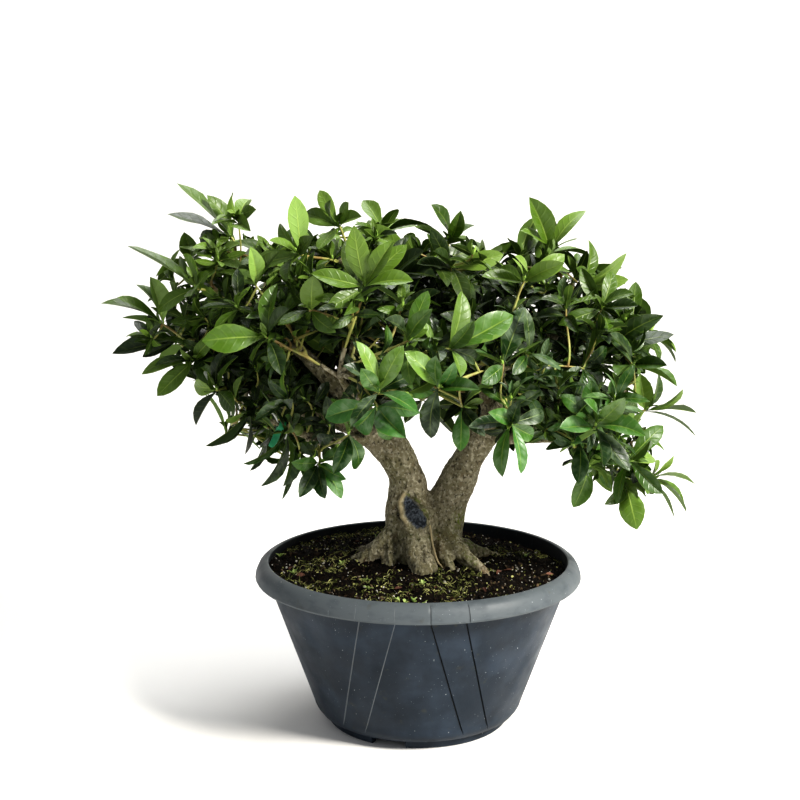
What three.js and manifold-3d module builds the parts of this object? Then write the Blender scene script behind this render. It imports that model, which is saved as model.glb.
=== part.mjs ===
// A satsuki azalea bonsai in a round plastic training pot.
// Millimetres, +Z up, +X to the right and +Y away from the viewer.
// The origin is the centre of the pot's foot, on the surface that the pot stands on.

import * as THREE from "three";
import { mergeVertices } from "three/addons/utils/BufferGeometryUtils.js";
import Module from "manifold-3d";

const wasm = await Module();
wasm.setup();

// Pot
const POT_HEIGHT = 151;
const RIM_RADIUS = 150; // the rim's lower edge, where the pot is widest
const RIM_INNER_RADIUS = 137.5;
const RIM_BOTTOM = 135.5; // height of the rim's lower edge
const BODY_TOP_RADIUS = 138.8;
const BODY_LOW_RADIUS = 97;
const BODY_LOW_HEIGHT = 19; // where the straight cone ends and the round corner starts
const WALL = 2.6;
const FOOT_OUTER_RADIUS = 84;
const FOOT_INNER_RADIUS = 77;
const FOOT_HEIGHT = 6.5;
const FOOT_DRAFT = 1; // how far each side of the foot ring leans over its height
const CORNER_INSET = 4; // the middle of the round corner, in from the cone and up from the foot
const CORNER_RISE = 4.5;
const FLOOR_RADIUS = 88;
const FLOOR_TOP = 9.5;
const BOSS_RADIUS = 22; // the flat centre pad under the floor
const RIM_LIP = 0.8; // half the height of the rim's blunt lower edge
const RIM_ROLL = [[2.5, 7], [6.5, 2]]; // points of the rolled rim: in from its edge, down from its top
const RIM_ROUND = 1.5; // the small round at the rim's inner edge
const POT_SEGMENTS = 32;
const NOTCH_ANGLES = [-20, 100, 220]; // degrees from the front, towards +X
const NOTCH_WIDTH = 33;
const NOTCH_DEPTH = 20; // radial, more than the foot ring's width
const NOTCH_HEIGHT = 6;
const DRAIN_COUNT = 6;
const DRAIN_RADIUS = 1.9;
const DRAIN_RING_RADIUS = 50;
const DRAIN_SIDES = 6;
const DRAIN_CUT = 12; // length of the cutter, more than the floor's thickness

// Soil
const GAP = 0.35; // what touching pieces keep between them
const SOIL_EDGE = 141; // height of the soil at the wall, back right
const SOIL_TILT = 3.2; // the left side stands this much higher, the right side as much lower
const SOIL_MOUND = 9; // how far the soil rises to the trunk
const MOUND_RADIUS = 78;
const SOIL_RIPPLE = 1.3;
const RIPPLE_RATE = [0.09, 0.075]; // radians of the ripple per millimetre, along x and along y
const SOIL_SEGMENTS = 24;
const SOIL_RINGS = [1, 0.82, 0.6, 0.36]; // shares of the radius at which the surface has points
const SOIL_SKIRT = 6; // the part under the surface that follows the wall starts this much lower

// Leaves
const LEAF_LENGTH = [35, 47]; // shortest and longest of the leaves placed by rule
const LEAF_WIDTH_SHARE = [0.34, 0.41];
const LEAF_WIDEST = 24;
const LEAF_THICKNESS = 1.2; // at the rib
const LEAF_ARCH = 0.07; // rise of the rib over the straight line from stalk to tip
const LEAF_SECTIONS = [ // where the blade has points: share of length, half width, share of thickness
  { at: 0.42, half: 0.5, thick: 1 },
  { at: 0.76, half: 0.4, thick: 0.8 },
];
const LEAF_ABOVE = 0.35; // share of the thickness that lies above the rib's line
const LEAF_OPENING = [0.85, 1.45]; // least and most angle between a leaf and its stem, in radians
const LEAF_NEAR_SIDE = 0.7; // share of the aimed leaves that lean towards the viewer
const LEAF_MOST_LEAN = 24; // how far an aimed leaf's tip may be in front of or behind its foot
const FACE_ALONG = 0.6; // what a leaf's upper side looks at: along its stem, up and outwards
const FACE_UP = 0.5;
const FACE_OUT = 0.45;
const FACE_VIEWER = 0.55; // an aimed leaf also looks towards the viewer
const FACE_TWIST = 0.6; // range of a leaf's own turn about its rib, in radians
const KEPT_TWIST = 0.4; // the share of it that a leaf with a width that shows keeps
const LEAF_CLEARANCE = 0.45;
const PADDED_FROM = 0.1; // share of a leaf's first part that is left out of its larger stand-in
const LEAF_TRIES = 9;
const AIMED_TURN = 0.06; // what each further try turns a leaf by, in radians
const FREE_TURN = 0.12;
const TRY_SHORTER = 0.02; // and what share of its length it loses
const LEAST_FACING = 0.2; // how far a leaf may lean off the side of the stem that it grows from
const SIDES_TRIED = { aimed: 4, free: 2 }; // how many sides of the stem each try goes through
const END_SIDE = 0.3; // a side that looks this little away from the stem's run is its end
const END_LIFT = 0.1; // how much upwards counts in the way that a leaf on the end goes
const FRONT_FILLERS = [3, 1]; // leaves placed by rule in rosettes with few and with many aimed ones
const MANY_TIPS = 5;

// Shoots
const TWIG_RADIUS = 1.6;
const SHOOT_RADIUS = 1.35;
const SIDE_SHOOT_RADIUS = 1.15;
const STEM_SIDES = 4;
const WOODY_SHARE = 0.3; // how much of a shoot's path is brown wood that belongs to the trunk
const WOODY_FLARE = 0.4; // how much thicker that wood is where it leaves its branch
const WOODY_TURN = 0.1; // share of the path at which that wood's first ring is square to it
const WOODY_TESTED = 0.12; // and from which its stand-in is tested
const MAIN_RINGS = [WOODY_SHARE, 0.55, 0.8]; // where an unforked stem has rings before its leaves
const SIDE_RINGS = [0, 0.5];
const FORKED_RING = 0.8;
const ZONE_HEIGHT = 1.7; // height of the stretch of stem that one whorl of leaves grows from
const FORK_SHARE = 0.5; // where a shoot's side stem leaves it
const FORK_LEAVE = 5; // how far the side stem goes straight out
const FORK_BOW = [0.4, 0.2]; // the bow of the side stem: shares of its span, along it and upwards
const STEM_BEND = 0.2; // share of a shoot's length over which it turns out of its branch
const STEM_SWAY = 0.22; // share of its length by which each further try sways
const STEM_RISE = 40; // how far up against outwards a shoot's end points
const STEM_DIRECT = 0.13; // share of its length by which a shoot's bends lean to the straight line
const SWAY_AT_END = 0.6; // how much of the sway the bend at its end has
const CROWN_SQUASH = 0.5; // the crown is wide, so outwards counts its x by half
const STEM_CLEARANCE = 1.0;
const STEM_TRIES = 12;
const BRANCH_BARE = 0.36; // share of a branch without shoots
const BRANCH_PLACES = 9; // places on the rest of it where a shoot can start
const LEAST_SHOOT = 22;
const BEND_COST = 0.5; // how much a sharp bend counts in the choice of a place, against the distance
const PLACE_JITTER = 6;

const SAME_POINT = 1e-8; // square of the distance under which two points are one
const FOLDED_FLAT = Math.cos(0.06); // two triangles at a sharper angle than this count as crossing

const up = new THREE.Vector3(0, 0, 1);
const toVector = ([x, y, z]) => new THREE.Vector3(x, y, z);
const lerp = THREE.MathUtils.lerp;
const toRadians = THREE.MathUtils.degToRad;

// A number from 0 to 1 that depends only on its two keys.
function draw(key, salt) {
  const value = Math.sin(key * 12.9898 + salt * 78.233) * 43758.5453;
  return value - Math.floor(value);
}

// Trunk, limbs and branches: [x, y, z, radius] along each one's middle.
const LIMB_SIDES = 10;
const LIMB_STEPS = 8;
const LIMBS = {
  left: [
    [-2, 3, 122, 25],
    [-7, 1, 160, 24],
    [-9, 0, 190, 22],
    [-9, 0, 210, 19],
    [-12, 0, 230, 16.5],
    [-22, -1, 250, 17],
    [-36, -3, 266, 17],
    [-52, -6, 284, 12],
  ],
  right: [
    [18, 6, 122, 22],
    [21, 4, 160, 21],
    [24, 3, 190, 19],
    [29, 2, 208, 18],
    [38, 2, 226, 17],
    [47, 1, 244, 14.5],
    [57, 0, 262, 14.5],
    [68, 0, 282, 12],
  ],
};

const ROOT_SIDES = 5;
const ROOT_STEPS = 3;
const ROOTS = [
  [[2, -8, 172, 12], [6, -27, 158, 9], [8, -38, 148, 5], [9, -46, 136, 3]],
  [[-14, -6, 170, 11], [-26, -16, 155, 7], [-33, -24, 145, 4.5], [-40, -32, 134, 3]],
  [[-14, 2, 168, 11], [-36, 0, 155, 7.5], [-56, 1, 148, 5], [-72, 4, 136, 3]],
  [[-14, 8, 166, 10], [-42, 16, 153, 6], [-64, 24, 147, 4], [-78, 30, 136, 2.6]],
  [[24, -4, 168, 11], [40, -18, 155, 7.5], [56, -30, 148, 5], [68, -40, 136, 3]],
  [[28, 6, 166, 10], [50, 14, 153, 7], [68, 24, 147, 4.5], [84, 34, 136, 2.6]],
  [[14, 14, 168, 12], [18, 34, 154, 8], [24, 52, 147, 5], [30, 68, 136, 3]],
  [[-2, 14, 168, 11], [-14, 34, 154, 7], [-26, 50, 147, 4.5], [-38, 62, 136, 3]],
];

// The sealed cut stands out of the front of the trunk as a short, tilted stub.
const SCAR = [[4, -4, 188, 16], [-1, -20, 191, 15], [-4, -30, 193, 12.5]];
const SCAR_SIDES = 9;
const SCAR_STEPS = 2;

// Scaffold branches. Shoots start on them, past their bare part.
const BRANCH_SIDES = 5;
const BRANCH_STEPS = 4;
const BRANCHES = {
  left_low: [[-40, -6, 266, 9], [-78, -22, 284, 7], [-120, -34, 300, 5], [-160, -34, 318, 2.6]],
  left_high: [[-46, -5, 276, 10], [-88, -10, 326, 7], [-124, -18, 362, 5], [-158, -22, 392, 2.6]],
  left_front: [[-40, -14, 272, 8], [-50, -52, 296, 6], [-58, -92, 318, 4], [-66, -116, 336, 2.6]],
  left_back: [[-44, 2, 274, 9], [-72, 46, 304, 6], [-96, 86, 330, 4], [-112, 112, 350, 2.6]],
  left_top: [[-46, -4, 276, 9], [-58, -12, 330, 6], [-52, -26, 376, 4], [-58, -28, 416, 2.6]],
  left_under: [[-38, -10, 264, 7], [-66, -38, 268, 5], [-96, -60, 276, 3.6], [-128, -72, 292, 2.4]],
  mid_back: [[-40, 6, 268, 8], [-26, 54, 304, 6], [-8, 92, 340, 4], [0, 116, 366, 2.6]],
  right_low: [[62, -2, 268, 9], [104, -10, 280, 7], [146, -16, 284, 5], [182, -16, 290, 2.6]],
  right_high: [[66, 0, 278, 10], [98, 2, 322, 7], [124, -4, 362, 5], [142, -8, 392, 2.6]],
  right_front: [[62, -8, 270, 8], [70, -48, 298, 6], [72, -90, 322, 4], [66, -118, 342, 2.6]],
  right_back: [[64, 6, 272, 9], [88, 48, 304, 6], [112, 84, 330, 4], [130, 106, 350, 2.6]],
  right_top: [[66, 0, 278, 9], [58, -2, 330, 6], [40, -8, 374, 4], [34, -12, 412, 2.6]],
  right_under: [[64, -6, 266, 7], [96, -40, 270, 5], [126, -66, 276, 3.6], [144, -76, 282, 2.6]],
};

// Where the crown is looked at from, and its outline as it then shows on the plane through the trunk:
// the highest and the lowest that the leaves placed by rule reach, as [x, z].
const VIEWER = [-17, -1200, 490];
const CROWN_TOP = [
  [-280, 385],
  [-235, 405],
  [-215, 445],
  [-170, 465],
  [-128, 442],
  [-100, 462],
  [-35, 464],
  [-5, 448],
  [20, 462],
  [45, 452],
  [66, 428],
  [85, 438],
  [105, 464],
  [145, 458],
  [165, 421],
  [192, 416],
  [206, 368],
  [230, 358],
  [250, 300],
];
const CROWN_BOTTOM = [
  [-280, 348],
  [-235, 325],
  [-200, 306],
  [-165, 284],
  [-145, 240],
  [-65, 234],
  [-48, 258],
  [38, 262],
  [60, 240],
  [88, 244],
  [110, 262],
  [130, 256],
  [150, 222],
  [200, 200],
  [230, 206],
  [250, 240],
];

// Shoots seen from the front. Each has one or two rosettes: where it is, and its leaf tips as [x, z].
// A third number in a leaf is the width that shows. The blade is turned until it shows that.
const FRONT_SHOOTS = [
  {
    name: "left_crest",
    rosettes: [
      { at: [-165, -20, 446], tips: [[-209, 492, 14], [-221, 465, 13], [-185, 482, 12], [-195, 443]] },
      { at: [-156, -35, 460], tips: [[-157, 484], [-149, 478], [-138, 470]] },
    ],
  },
  {
    name: "left_shoulder",
    rosettes: [
      { at: [-190, -60, 404], tips: [[-250, 439, 7], [-197, 434, 8], [-175, 419], [-207, 408]] },
      { at: [-203, 0, 426], tips: [[-205, 450, 16], [-187, 440], [-231, 411]] },
    ],
  },
  {
    name: "left_tip",
    rosettes: [
      {
        at: [-227, -30, 371],
        tips: [[-276, 389, 6], [-260, 395, 6], [-249, 404, 5], [-248, 415, 4], [-233, 412, 15]],
      },
    ],
  },
  {
    name: "left_reach",
    rosettes: [
      { at: [-219, -5, 354], tips: [[-280, 345, 17], [-262, 350, 8], [-250, 338, 8]] },
      { at: [-196, -45, 340], tips: [[-240, 329, 9], [-228, 331, 10], [-227, 310, 14], [-208, 322]] },
    ],
  },
  {
    name: "left_skirt",
    rosettes: [
      { at: [-175, -65, 317], tips: [[-197, 317, 15], [-194, 284, 7], [-178, 336]] },
      { at: [-148, -40, 294], tips: [[-167, 291, 15], [-187, 265, 8], [-152, 258, 9]] },
    ],
  },
  {
    name: "left_drip",
    rosettes: [{ at: [-137, -10, 274], tips: [[-151, 238, 7], [-162, 264, 8], [-143, 252, 8]] }],
  },
  {
    name: "left_face",
    rosettes: [
      { at: [-126, -112, 368], tips: [[-177, 366, 24], [-112, 340], [-140, 345]] },
      { at: [-137, -85, 409], tips: [[-158, 417, 15], [-138, 441, 13], [-122, 440]] },
    ],
  },
  {
    name: "bright_blade",
    rosettes: [
      { at: [-101, -80, 434], tips: [[-103, 482, 17], [-123, 446], [-87, 449], [-119, 458]] },
    ],
  },
  {
    name: "crest_left",
    rosettes: [
      { at: [-70, -35, 457], tips: [[-87, 486, 12], [-75, 478], [-60, 476], [-100, 466]] },
      { at: [-30, 0, 449], tips: [[-19, 470], [-50, 477], [-2, 455], [-22, 458]] },
    ],
  },
  {
    name: "face_fan",
    rosettes: [
      {
        at: [-45, -125, 411],
        tips: [[-53, 459, 19], [-57, 435], [-87, 421], [-24, 451], [-11, 443], [-6, 415], [-75, 394]],
      },
      { at: [-91, -110, 390], tips: [[-86, 419, 19], [-115, 382], [-68, 374]] },
    ],
  },
  {
    name: "face_spear",
    rosettes: [
      { at: [-33, -176, 332], tips: [[-50, 373, 11], [-14, 370, 11], [-4, 342], [-46, 354]] },
      {
        at: [-34, -162, 318],
        tips: [[-76, 308, 19], [-53, 298, 19], [-38, 296], [-12, 298, 21], [-2, 317], [-70, 335, 17]],
      },
    ],
  },
  {
    name: "under_star",
    rosettes: [
      {
        at: [-84, -120, 264],
        tips: [[-98, 241, 13], [-77, 240], [-64, 240, 15], [-60, 256], [-60, 268], [-104, 270]],
      },
      { at: [-58, -128, 290], tips: [[-53, 256, 15], [-70, 262]] },
    ],
  },
  {
    name: "under_blades",
    rosettes: [
      { at: [-113, -90, 284], tips: [[-114, 243], [-134, 240], [-147, 262]] },
      { at: [-103, -58, 260], tips: [[-118, 223], [-88, 232]] },
    ],
  },
  {
    name: "face_centre",
    rosettes: [
      {
        at: [-10, -165, 371],
        tips: [[8, 398], [-28, 390], [18, 371], [5, 340], [-8, 338]],
      },
      { at: [24, -158, 364], tips: [[40, 388], [44, 352], [30, 345]] },
    ],
  },
  {
    name: "centre_tassel",
    rosettes: [
      { at: [13, -170, 335], tips: [[11, 363], [22, 360], [44, 337], [38, 309], [8, 293, 19]] },
      { at: [37, -70, 303], tips: [[35, 266, 15], [55, 282]] },
    ],
  },
  {
    name: "right_tassel",
    rosettes: [
      {
        at: [72, -150, 302],
        tips: [[52, 316], [76, 325], [64, 264, 17], [79, 265], [92, 288], [104, 300]],
      },
      { at: [67, -124, 348], tips: [[40, 360], [48, 335, 14], [70, 330]] },
    ],
  },
  {
    name: "crest_mid",
    rosettes: [
      { at: [26, -20, 442], tips: [[10, 474, 14], [36, 470, 14], [50, 455], [-4, 455], [40, 444]] },
      { at: [56, 15, 424], tips: [[52, 440], [74, 434], [32, 424]] },
    ],
  },
  {
    name: "right_dip",
    rosettes: [
      { at: [87, -92, 413], tips: [[76, 434], [66, 420], [92, 436, 15], [116, 429, 15], [50, 417]] },
      { at: [91, 12, 426], tips: [[78, 444], [108, 440]] },
    ],
  },
  {
    name: "crest_right",
    rosettes: [
      {
        at: [118, 0, 433],
        tips: [[97, 480, 15], [150, 468, 15], [114, 468, 18], [89, 451], [138, 444]],
      },
      { at: [144, -20, 402], tips: [[184, 431], [183, 409], [150, 443], [135, 420]] },
    ],
  },
  {
    name: "right_shoulder",
    rosettes: [
      { at: [173, -20, 350], tips: [[190, 372, 11], [224, 361], [226, 374], [188, 385], [200, 346]] },
      { at: [157, -50, 387], tips: [[180, 400], [184, 390], [160, 370]] },
    ],
  },
  {
    name: "right_tip",
    rosettes: [
      {
        at: [202, -28, 293],
        tips: [[194, 327, 18], [229, 319, 14], [239, 310], [249, 289], [250, 273], [231, 266], [228, 253]],
      },
      { at: [184, -55, 338], tips: [[209, 340], [218, 322], [192, 315]] },
    ],
  },
  {
    name: "right_face",
    rosettes: [
      {
        at: [145, -115, 295],
        tips: [[119, 317], [131, 320], [143, 330], [164, 322], [182, 290, 14], [171, 260, 15], [112, 297]],
      },
      { at: [134, -92, 276], tips: [[131, 246, 15], [109, 266, 14]] },
    ],
  },
  {
    name: "right_mid",
    rosettes: [
      { at: [90, -112, 354], tips: [[94, 378], [84, 318, 15], [98, 322, 6], [112, 344], [64, 350]] },
      { at: [140, -70, 336], tips: [[118, 358], [163, 352], [128, 312], [158, 316]] },
    ],
  },
  {
    name: "right_skirt",
    rosettes: [
      { at: [182, -72, 256], tips: [[194, 279], [207, 231, 14], [170, 220, 14], [146, 262]] },
      { at: [150, -42, 246], tips: [[136, 210, 18], [124, 250]] },
    ],
  },
  {
    name: "right_drip",
    rosettes: [
      { at: [214, -4, 226], tips: [[248, 192], [231, 194], [254, 220], [212, 248, 14], [231, 246, 14]] },
      { at: [187, -24, 224], tips: [[194, 188, 23], [164, 212]] },
    ],
  },
];

// Shoots that the front doesn't show stand in tiers round the back and the sides.
// The crown is an oval dome over the trunk, with its underside hollowed like an arch.
const TIERS = [
  { name: "back_low", count: 6, from: 22, to: 158, reach: [196, 150], height: 272, lift: -12 },
  { name: "back_mid", count: 6, from: 8, to: 172, reach: [206, 165], height: 342, lift: 8 },
  { name: "back_high", count: 6, from: 14, to: 166, reach: [142, 112], height: 400, lift: 8 },
  { name: "back_inner", count: 3, from: 40, to: 140, reach: [70, 84], height: 292, lift: 0 },
  { name: "front_inner", count: 3, from: 205, to: 292, reach: [128, 92], height: 352, lift: -14 },
  { name: "front_high", count: 2, from: 250, to: 290, reach: [90, 66], height: 416, lift: 0 },
];
const TIER_JITTER = 14;
const TIER_LEAVES = [6, 4]; // leaves in a main rosette and in a side rosette
const SIDE_ROSETTE = { aside: 27, inward: 21.6 }; // where a side rosette is from its main one
const SIDE_ROSETTE_RISE = [0.2, 0.35]; // its rise over each of those

// A closed solid through rings of points. A ring of one point closes an end.
function loft(rings) {
  const positions = [];
  const starts = [];
  for (const ring of rings) {
    starts.push(positions.length / 3);
    for (const point of ring) {
      positions.push(point.x, point.y, point.z);
    }
  }
  const faces = [];
  for (let k = 0; k + 1 < rings.length; k += 1) {
    const lower = rings[k].length;
    const upper = rings[k + 1].length;
    const count = Math.max(lower, upper);
    for (let i = 0; i < count; i += 1) {
      const j = (i + 1) % count;
      const a = starts[k] + (lower === 1 ? 0 : i);
      const b = starts[k] + (lower === 1 ? 0 : j);
      const c = starts[k + 1] + (upper === 1 ? 0 : j);
      const d = starts[k + 1] + (upper === 1 ? 0 : i);
      if (lower > 1) {
        faces.push(a, b, c);
      }
      if (upper > 1) {
        faces.push(a, c, d);
      }
    }
  }
  const geometry = new THREE.BufferGeometry();
  geometry.setAttribute("position", new THREE.Float32BufferAttribute(positions, 3));
  geometry.setIndex(faces);
  return geometry;
}

// The two flat ends of a lofted body, each a fan round the ring's first point.
function capped(rings) {
  const geometry = loft(rings);
  const faces = Array.from(geometry.index.array);
  const last = geometry.getAttribute("position").count - rings.at(-1).length;
  if (rings[0].length > 2) {
    for (let i = 1; i + 1 < rings[0].length; i += 1) {
      faces.push(0, i + 1, i);
    }
  }
  if (rings.at(-1).length > 2) {
    for (let i = 1; i + 1 < rings.at(-1).length; i += 1) {
      faces.push(last, last + i, last + i + 1);
    }
  }
  geometry.setIndex(faces);
  return geometry;
}

// Rings square to a path. The ring's direction is carried along the path without a twist.
function ringsAlong(points, radii, sides, runs = null) {
  const rings = [];
  const side = new THREE.Vector3();
  for (let k = 0; k < points.length; k += 1) {
    const before = points[Math.max(k - 1, 0)];
    const after = points[Math.min(k + 1, points.length - 1)];
    const along = runs ? runs[k] : after.clone().sub(before).normalize();
    if (k === 0) {
      const helper = Math.abs(along.z) < 0.9 ? up : new THREE.Vector3(0, 1, 0);
      side.crossVectors(helper, along).normalize();
    } else {
      side.addScaledVector(along, -side.dot(along)).normalize();
    }
    const other = along.clone().cross(side);
    const ring = [];
    for (let i = 0; i < sides; i += 1) {
      const angle = (2 * Math.PI * i) / sides;
      const point = points[k].clone();
      point.addScaledVector(side, radii[k] * Math.cos(angle));
      point.addScaledVector(other, radii[k] * Math.sin(angle));
      ring.push(point);
    }
    rings.push(ring);
  }
  return rings;
}

function tube(points, radii, sides, runs = null) {
  return capped(ringsAlong(points, radii, sides, runs));
}

function smoothCurve(entries) {
  return new THREE.CatmullRomCurve3(entries.map(toVector), false, "centripetal");
}

// A smooth tube through a few [x, y, z, radius] entries, made fatter by extra all round.
function taperedTube(entries, sides, steps, extra = 0) {
  const curve = smoothCurve(entries);
  const points = [];
  const radii = [];
  for (let k = 0; k <= steps; k += 1) {
    const t = k / steps;
    const place = t * (entries.length - 1);
    const low = Math.min(Math.floor(place), entries.length - 2);
    points.push(curve.getPoint(t));
    radii.push(lerp(entries[low][3], entries[low + 1][3], place - low) + extra);
  }
  if (extra > 0) {
    const first = points[0].clone().sub(points[1]).normalize();
    const last = points.at(-1).clone().sub(points.at(-2)).normalize();
    points[0].addScaledVector(first, extra);
    points.at(-1).addScaledVector(last, extra);
  }
  return tube(points, radii, sides);
}

// A manifold solid from a closed geometry, for joining and cutting.
function toSolid(geometry) {
  const bare = geometry.clone();
  bare.deleteAttribute("normal");
  bare.deleteAttribute("uv");
  const merged = mergeVertices(bare, 1e-4);
  const index = merged.index.array;
  const faces = [];
  for (let i = 0; i < index.length; i += 3) {
    const [a, b, c] = [index[i], index[i + 1], index[i + 2]];
    if (a !== b && b !== c && c !== a) {
      faces.push(a, b, c);
    }
  }
  const vertProperties = new Float32Array(merged.attributes.position.array);
  const triVerts = new Uint32Array(faces);
  return new wasm.Manifold(new wasm.Mesh({ numProp: 3, vertProperties, triVerts }));
}

function toGeometry(solid) {
  const mesh = solid.getMesh();
  const geometry = new THREE.BufferGeometry();
  const positions = new THREE.Float32BufferAttribute(mesh.vertProperties.slice(), 3);
  geometry.setAttribute("position", positions);
  geometry.setIndex(Array.from(mesh.triVerts));
  const flat = geometry.toNonIndexed();
  flat.computeVertexNormals();
  return flat;
}

function joined(geometries) {
  return geometries.map(toSolid).reduce((sum, next) => sum.add(next));
}

// Radius of the inside of the pot's straight wall at a height.
function wallInside(height) {
  const slope = (BODY_TOP_RADIUS - BODY_LOW_RADIUS) / (RIM_BOTTOM - BODY_LOW_HEIGHT);
  return BODY_LOW_RADIUS - WALL + slope * (height - BODY_LOW_HEIGHT);
}

// The pot is turned from one closed profile, from the centre of its underside out, up and back in.
function makePot() {
  const profile = [
    [0, 0],
    [BOSS_RADIUS, 0],
    [BOSS_RADIUS + FOOT_DRAFT, FOOT_HEIGHT],
    [FOOT_INNER_RADIUS - FOOT_DRAFT, FOOT_HEIGHT],
    [FOOT_INNER_RADIUS, 0],
    [FOOT_OUTER_RADIUS, 0],
    [FOOT_OUTER_RADIUS + FOOT_DRAFT, FOOT_HEIGHT],
    [BODY_LOW_RADIUS - CORNER_INSET, FOOT_HEIGHT + CORNER_RISE],
    [BODY_LOW_RADIUS, BODY_LOW_HEIGHT],
    [BODY_TOP_RADIUS, RIM_BOTTOM],
    [RIM_RADIUS - RIM_ROUND, RIM_BOTTOM - RIM_LIP],
    [RIM_RADIUS, RIM_BOTTOM + RIM_LIP],
    ...RIM_ROLL.map(([inset, drop]) => [RIM_RADIUS - inset, POT_HEIGHT - drop]),
    [RIM_INNER_RADIUS + RIM_ROUND, POT_HEIGHT],
    [RIM_INNER_RADIUS, POT_HEIGHT - RIM_ROUND],
    [wallInside(RIM_BOTTOM), RIM_BOTTOM],
    [wallInside(BODY_LOW_HEIGHT), BODY_LOW_HEIGHT],
    [FLOOR_RADIUS, FLOOR_TOP],
    [0, FLOOR_TOP],
  ];
  const points = profile.map(([radius, height]) => new THREE.Vector2(radius, height));
  let pot = toSolid(new THREE.LatheGeometry(points, POT_SEGMENTS).rotateX(Math.PI / 2));
  for (const angle of NOTCH_ANGLES) {
    const notch = new THREE.BoxGeometry(NOTCH_WIDTH, NOTCH_DEPTH, 2 * NOTCH_HEIGHT);
    notch.translate(0, -(FOOT_OUTER_RADIUS + FOOT_INNER_RADIUS) / 2, 0);
    notch.rotateZ(toRadians(angle));
    pot = pot.subtract(toSolid(notch));
  }
  for (let i = 0; i < DRAIN_COUNT; i += 1) {
    const drain = new THREE.CylinderGeometry(DRAIN_RADIUS, DRAIN_RADIUS, DRAIN_CUT, DRAIN_SIDES);
    drain.rotateX(Math.PI / 2).translate(DRAIN_RING_RADIUS, 0, (FOOT_HEIGHT + FLOOR_TOP) / 2);
    drain.rotateZ((2 * Math.PI * (i + 0.5)) / DRAIN_COUNT);
    pot = pot.subtract(toSolid(drain));
  }
  return pot;
}

// Height of the soil's surface over a place in the pot.
function soilHeight(x, y) {
  const radius = Math.hypot(x, y);
  const mound = SOIL_MOUND * Math.exp(-((radius / MOUND_RADIUS) ** 2));
  const ripple = SOIL_RIPPLE * Math.sin(x * RIPPLE_RATE[0] + 1) * Math.cos(y * RIPPLE_RATE[1]);
  return SOIL_EDGE - (SOIL_TILT * x) / RIM_INNER_RADIUS + mound + ripple;
}

// The soil fills the pot, and the trunk and its roots stand in holes cut clear of them.
function makeSoil(rootCut) {
  const ringAt = (radius, heightAt) => {
    const ring = [];
    for (let i = 0; i < SOIL_SEGMENTS; i += 1) {
      const angle = (2 * Math.PI * i) / SOIL_SEGMENTS;
      const x = radius * Math.cos(angle);
      const y = radius * Math.sin(angle);
      ring.push(new THREE.Vector3(x, y, heightAt(x, y)));
    }
    return ring;
  };
  const floor = FLOOR_TOP + GAP;
  const shoulder = SOIL_EDGE - SOIL_TILT - SOIL_SKIRT;
  const edge = wallInside(shoulder) - 2 * GAP;
  const rings = [
    [new THREE.Vector3(0, 0, floor)],
    ringAt(FLOOR_RADIUS - 3 * GAP, () => floor),
    ringAt(wallInside(BODY_LOW_HEIGHT) - 2 * GAP, () => BODY_LOW_HEIGHT + GAP),
    ringAt(edge, () => shoulder),
    ...SOIL_RINGS.map((share) => ringAt(edge * share, soilHeight)),
    [new THREE.Vector3(0, 0, soilHeight(0, 0))],
  ];
  return toSolid(loft(rings)).subtract(rootCut);
}

// The trunk's own bodies. A larger copy of its lower ones cuts the holes in the soil.
function trunkBodies(extra) {
  const limbs = Object.values(LIMBS).map((path) => taperedTube(path, LIMB_SIDES, LIMB_STEPS, extra));
  const roots = ROOTS.map((path) => taperedTube(path, ROOT_SIDES, ROOT_STEPS, extra));
  return [...limbs, ...roots];
}

// Every triangle that is already in place, kept in a coarse grid so that near ones are found fast.
class Placed {
  constructor(cell = 24) {
    this.cell = cell;
    this.grid = new Map();
  }

  keys(low, high) {
    const out = [];
    for (let x = Math.floor(low.x / this.cell); x <= Math.floor(high.x / this.cell); x += 1) {
      for (let y = Math.floor(low.y / this.cell); y <= Math.floor(high.y / this.cell); y += 1) {
        for (let z = Math.floor(low.z / this.cell); z <= Math.floor(high.z / this.cell); z += 1) {
          out.push(`${x},${y},${z}`);
        }
      }
    }
    return out;
  }

  // Adds triangles under the name of what they belong to.
  add(triangles, owner) {
    for (const triangle of triangles) {
      const box = new THREE.Box3().setFromPoints(triangle);
      const entry = { triangle, box, owner };
      for (const key of this.keys(box.min, box.max)) {
        if (!this.grid.has(key)) {
          this.grid.set(key, []);
        }
        this.grid.get(key).push(entry);
      }
    }
  }

  // True where none of the triangles crosses one in place. Those of one owner can be passed over.
  isClear(triangles, passOver = null) {
    for (const triangle of triangles) {
      const box = new THREE.Box3().setFromPoints(triangle);
      for (const key of this.keys(box.min, box.max)) {
        for (const entry of this.grid.get(key) ?? []) {
          if (entry.owner === passOver || !entry.box.intersectsBox(box)) {
            continue;
          }
          if (trianglesCross(triangle, entry.triangle)) {
            return false;
          }
        }
      }
    }
    return true;
  }
}

function trianglesOf(geometry) {
  const position = geometry.getAttribute("position");
  const index = geometry.index.array;
  const corner = (i) => new THREE.Vector3().fromBufferAttribute(position, index[i]);
  const out = [];
  for (let i = 0; i < index.length; i += 3) {
    out.push([corner(i), corner(i + 1), corner(i + 2)]);
  }
  return out;
}

function isCornerOf(point, triangle) {
  return triangle.some((corner) => corner.distanceToSquared(point) < SAME_POINT);
}

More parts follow.
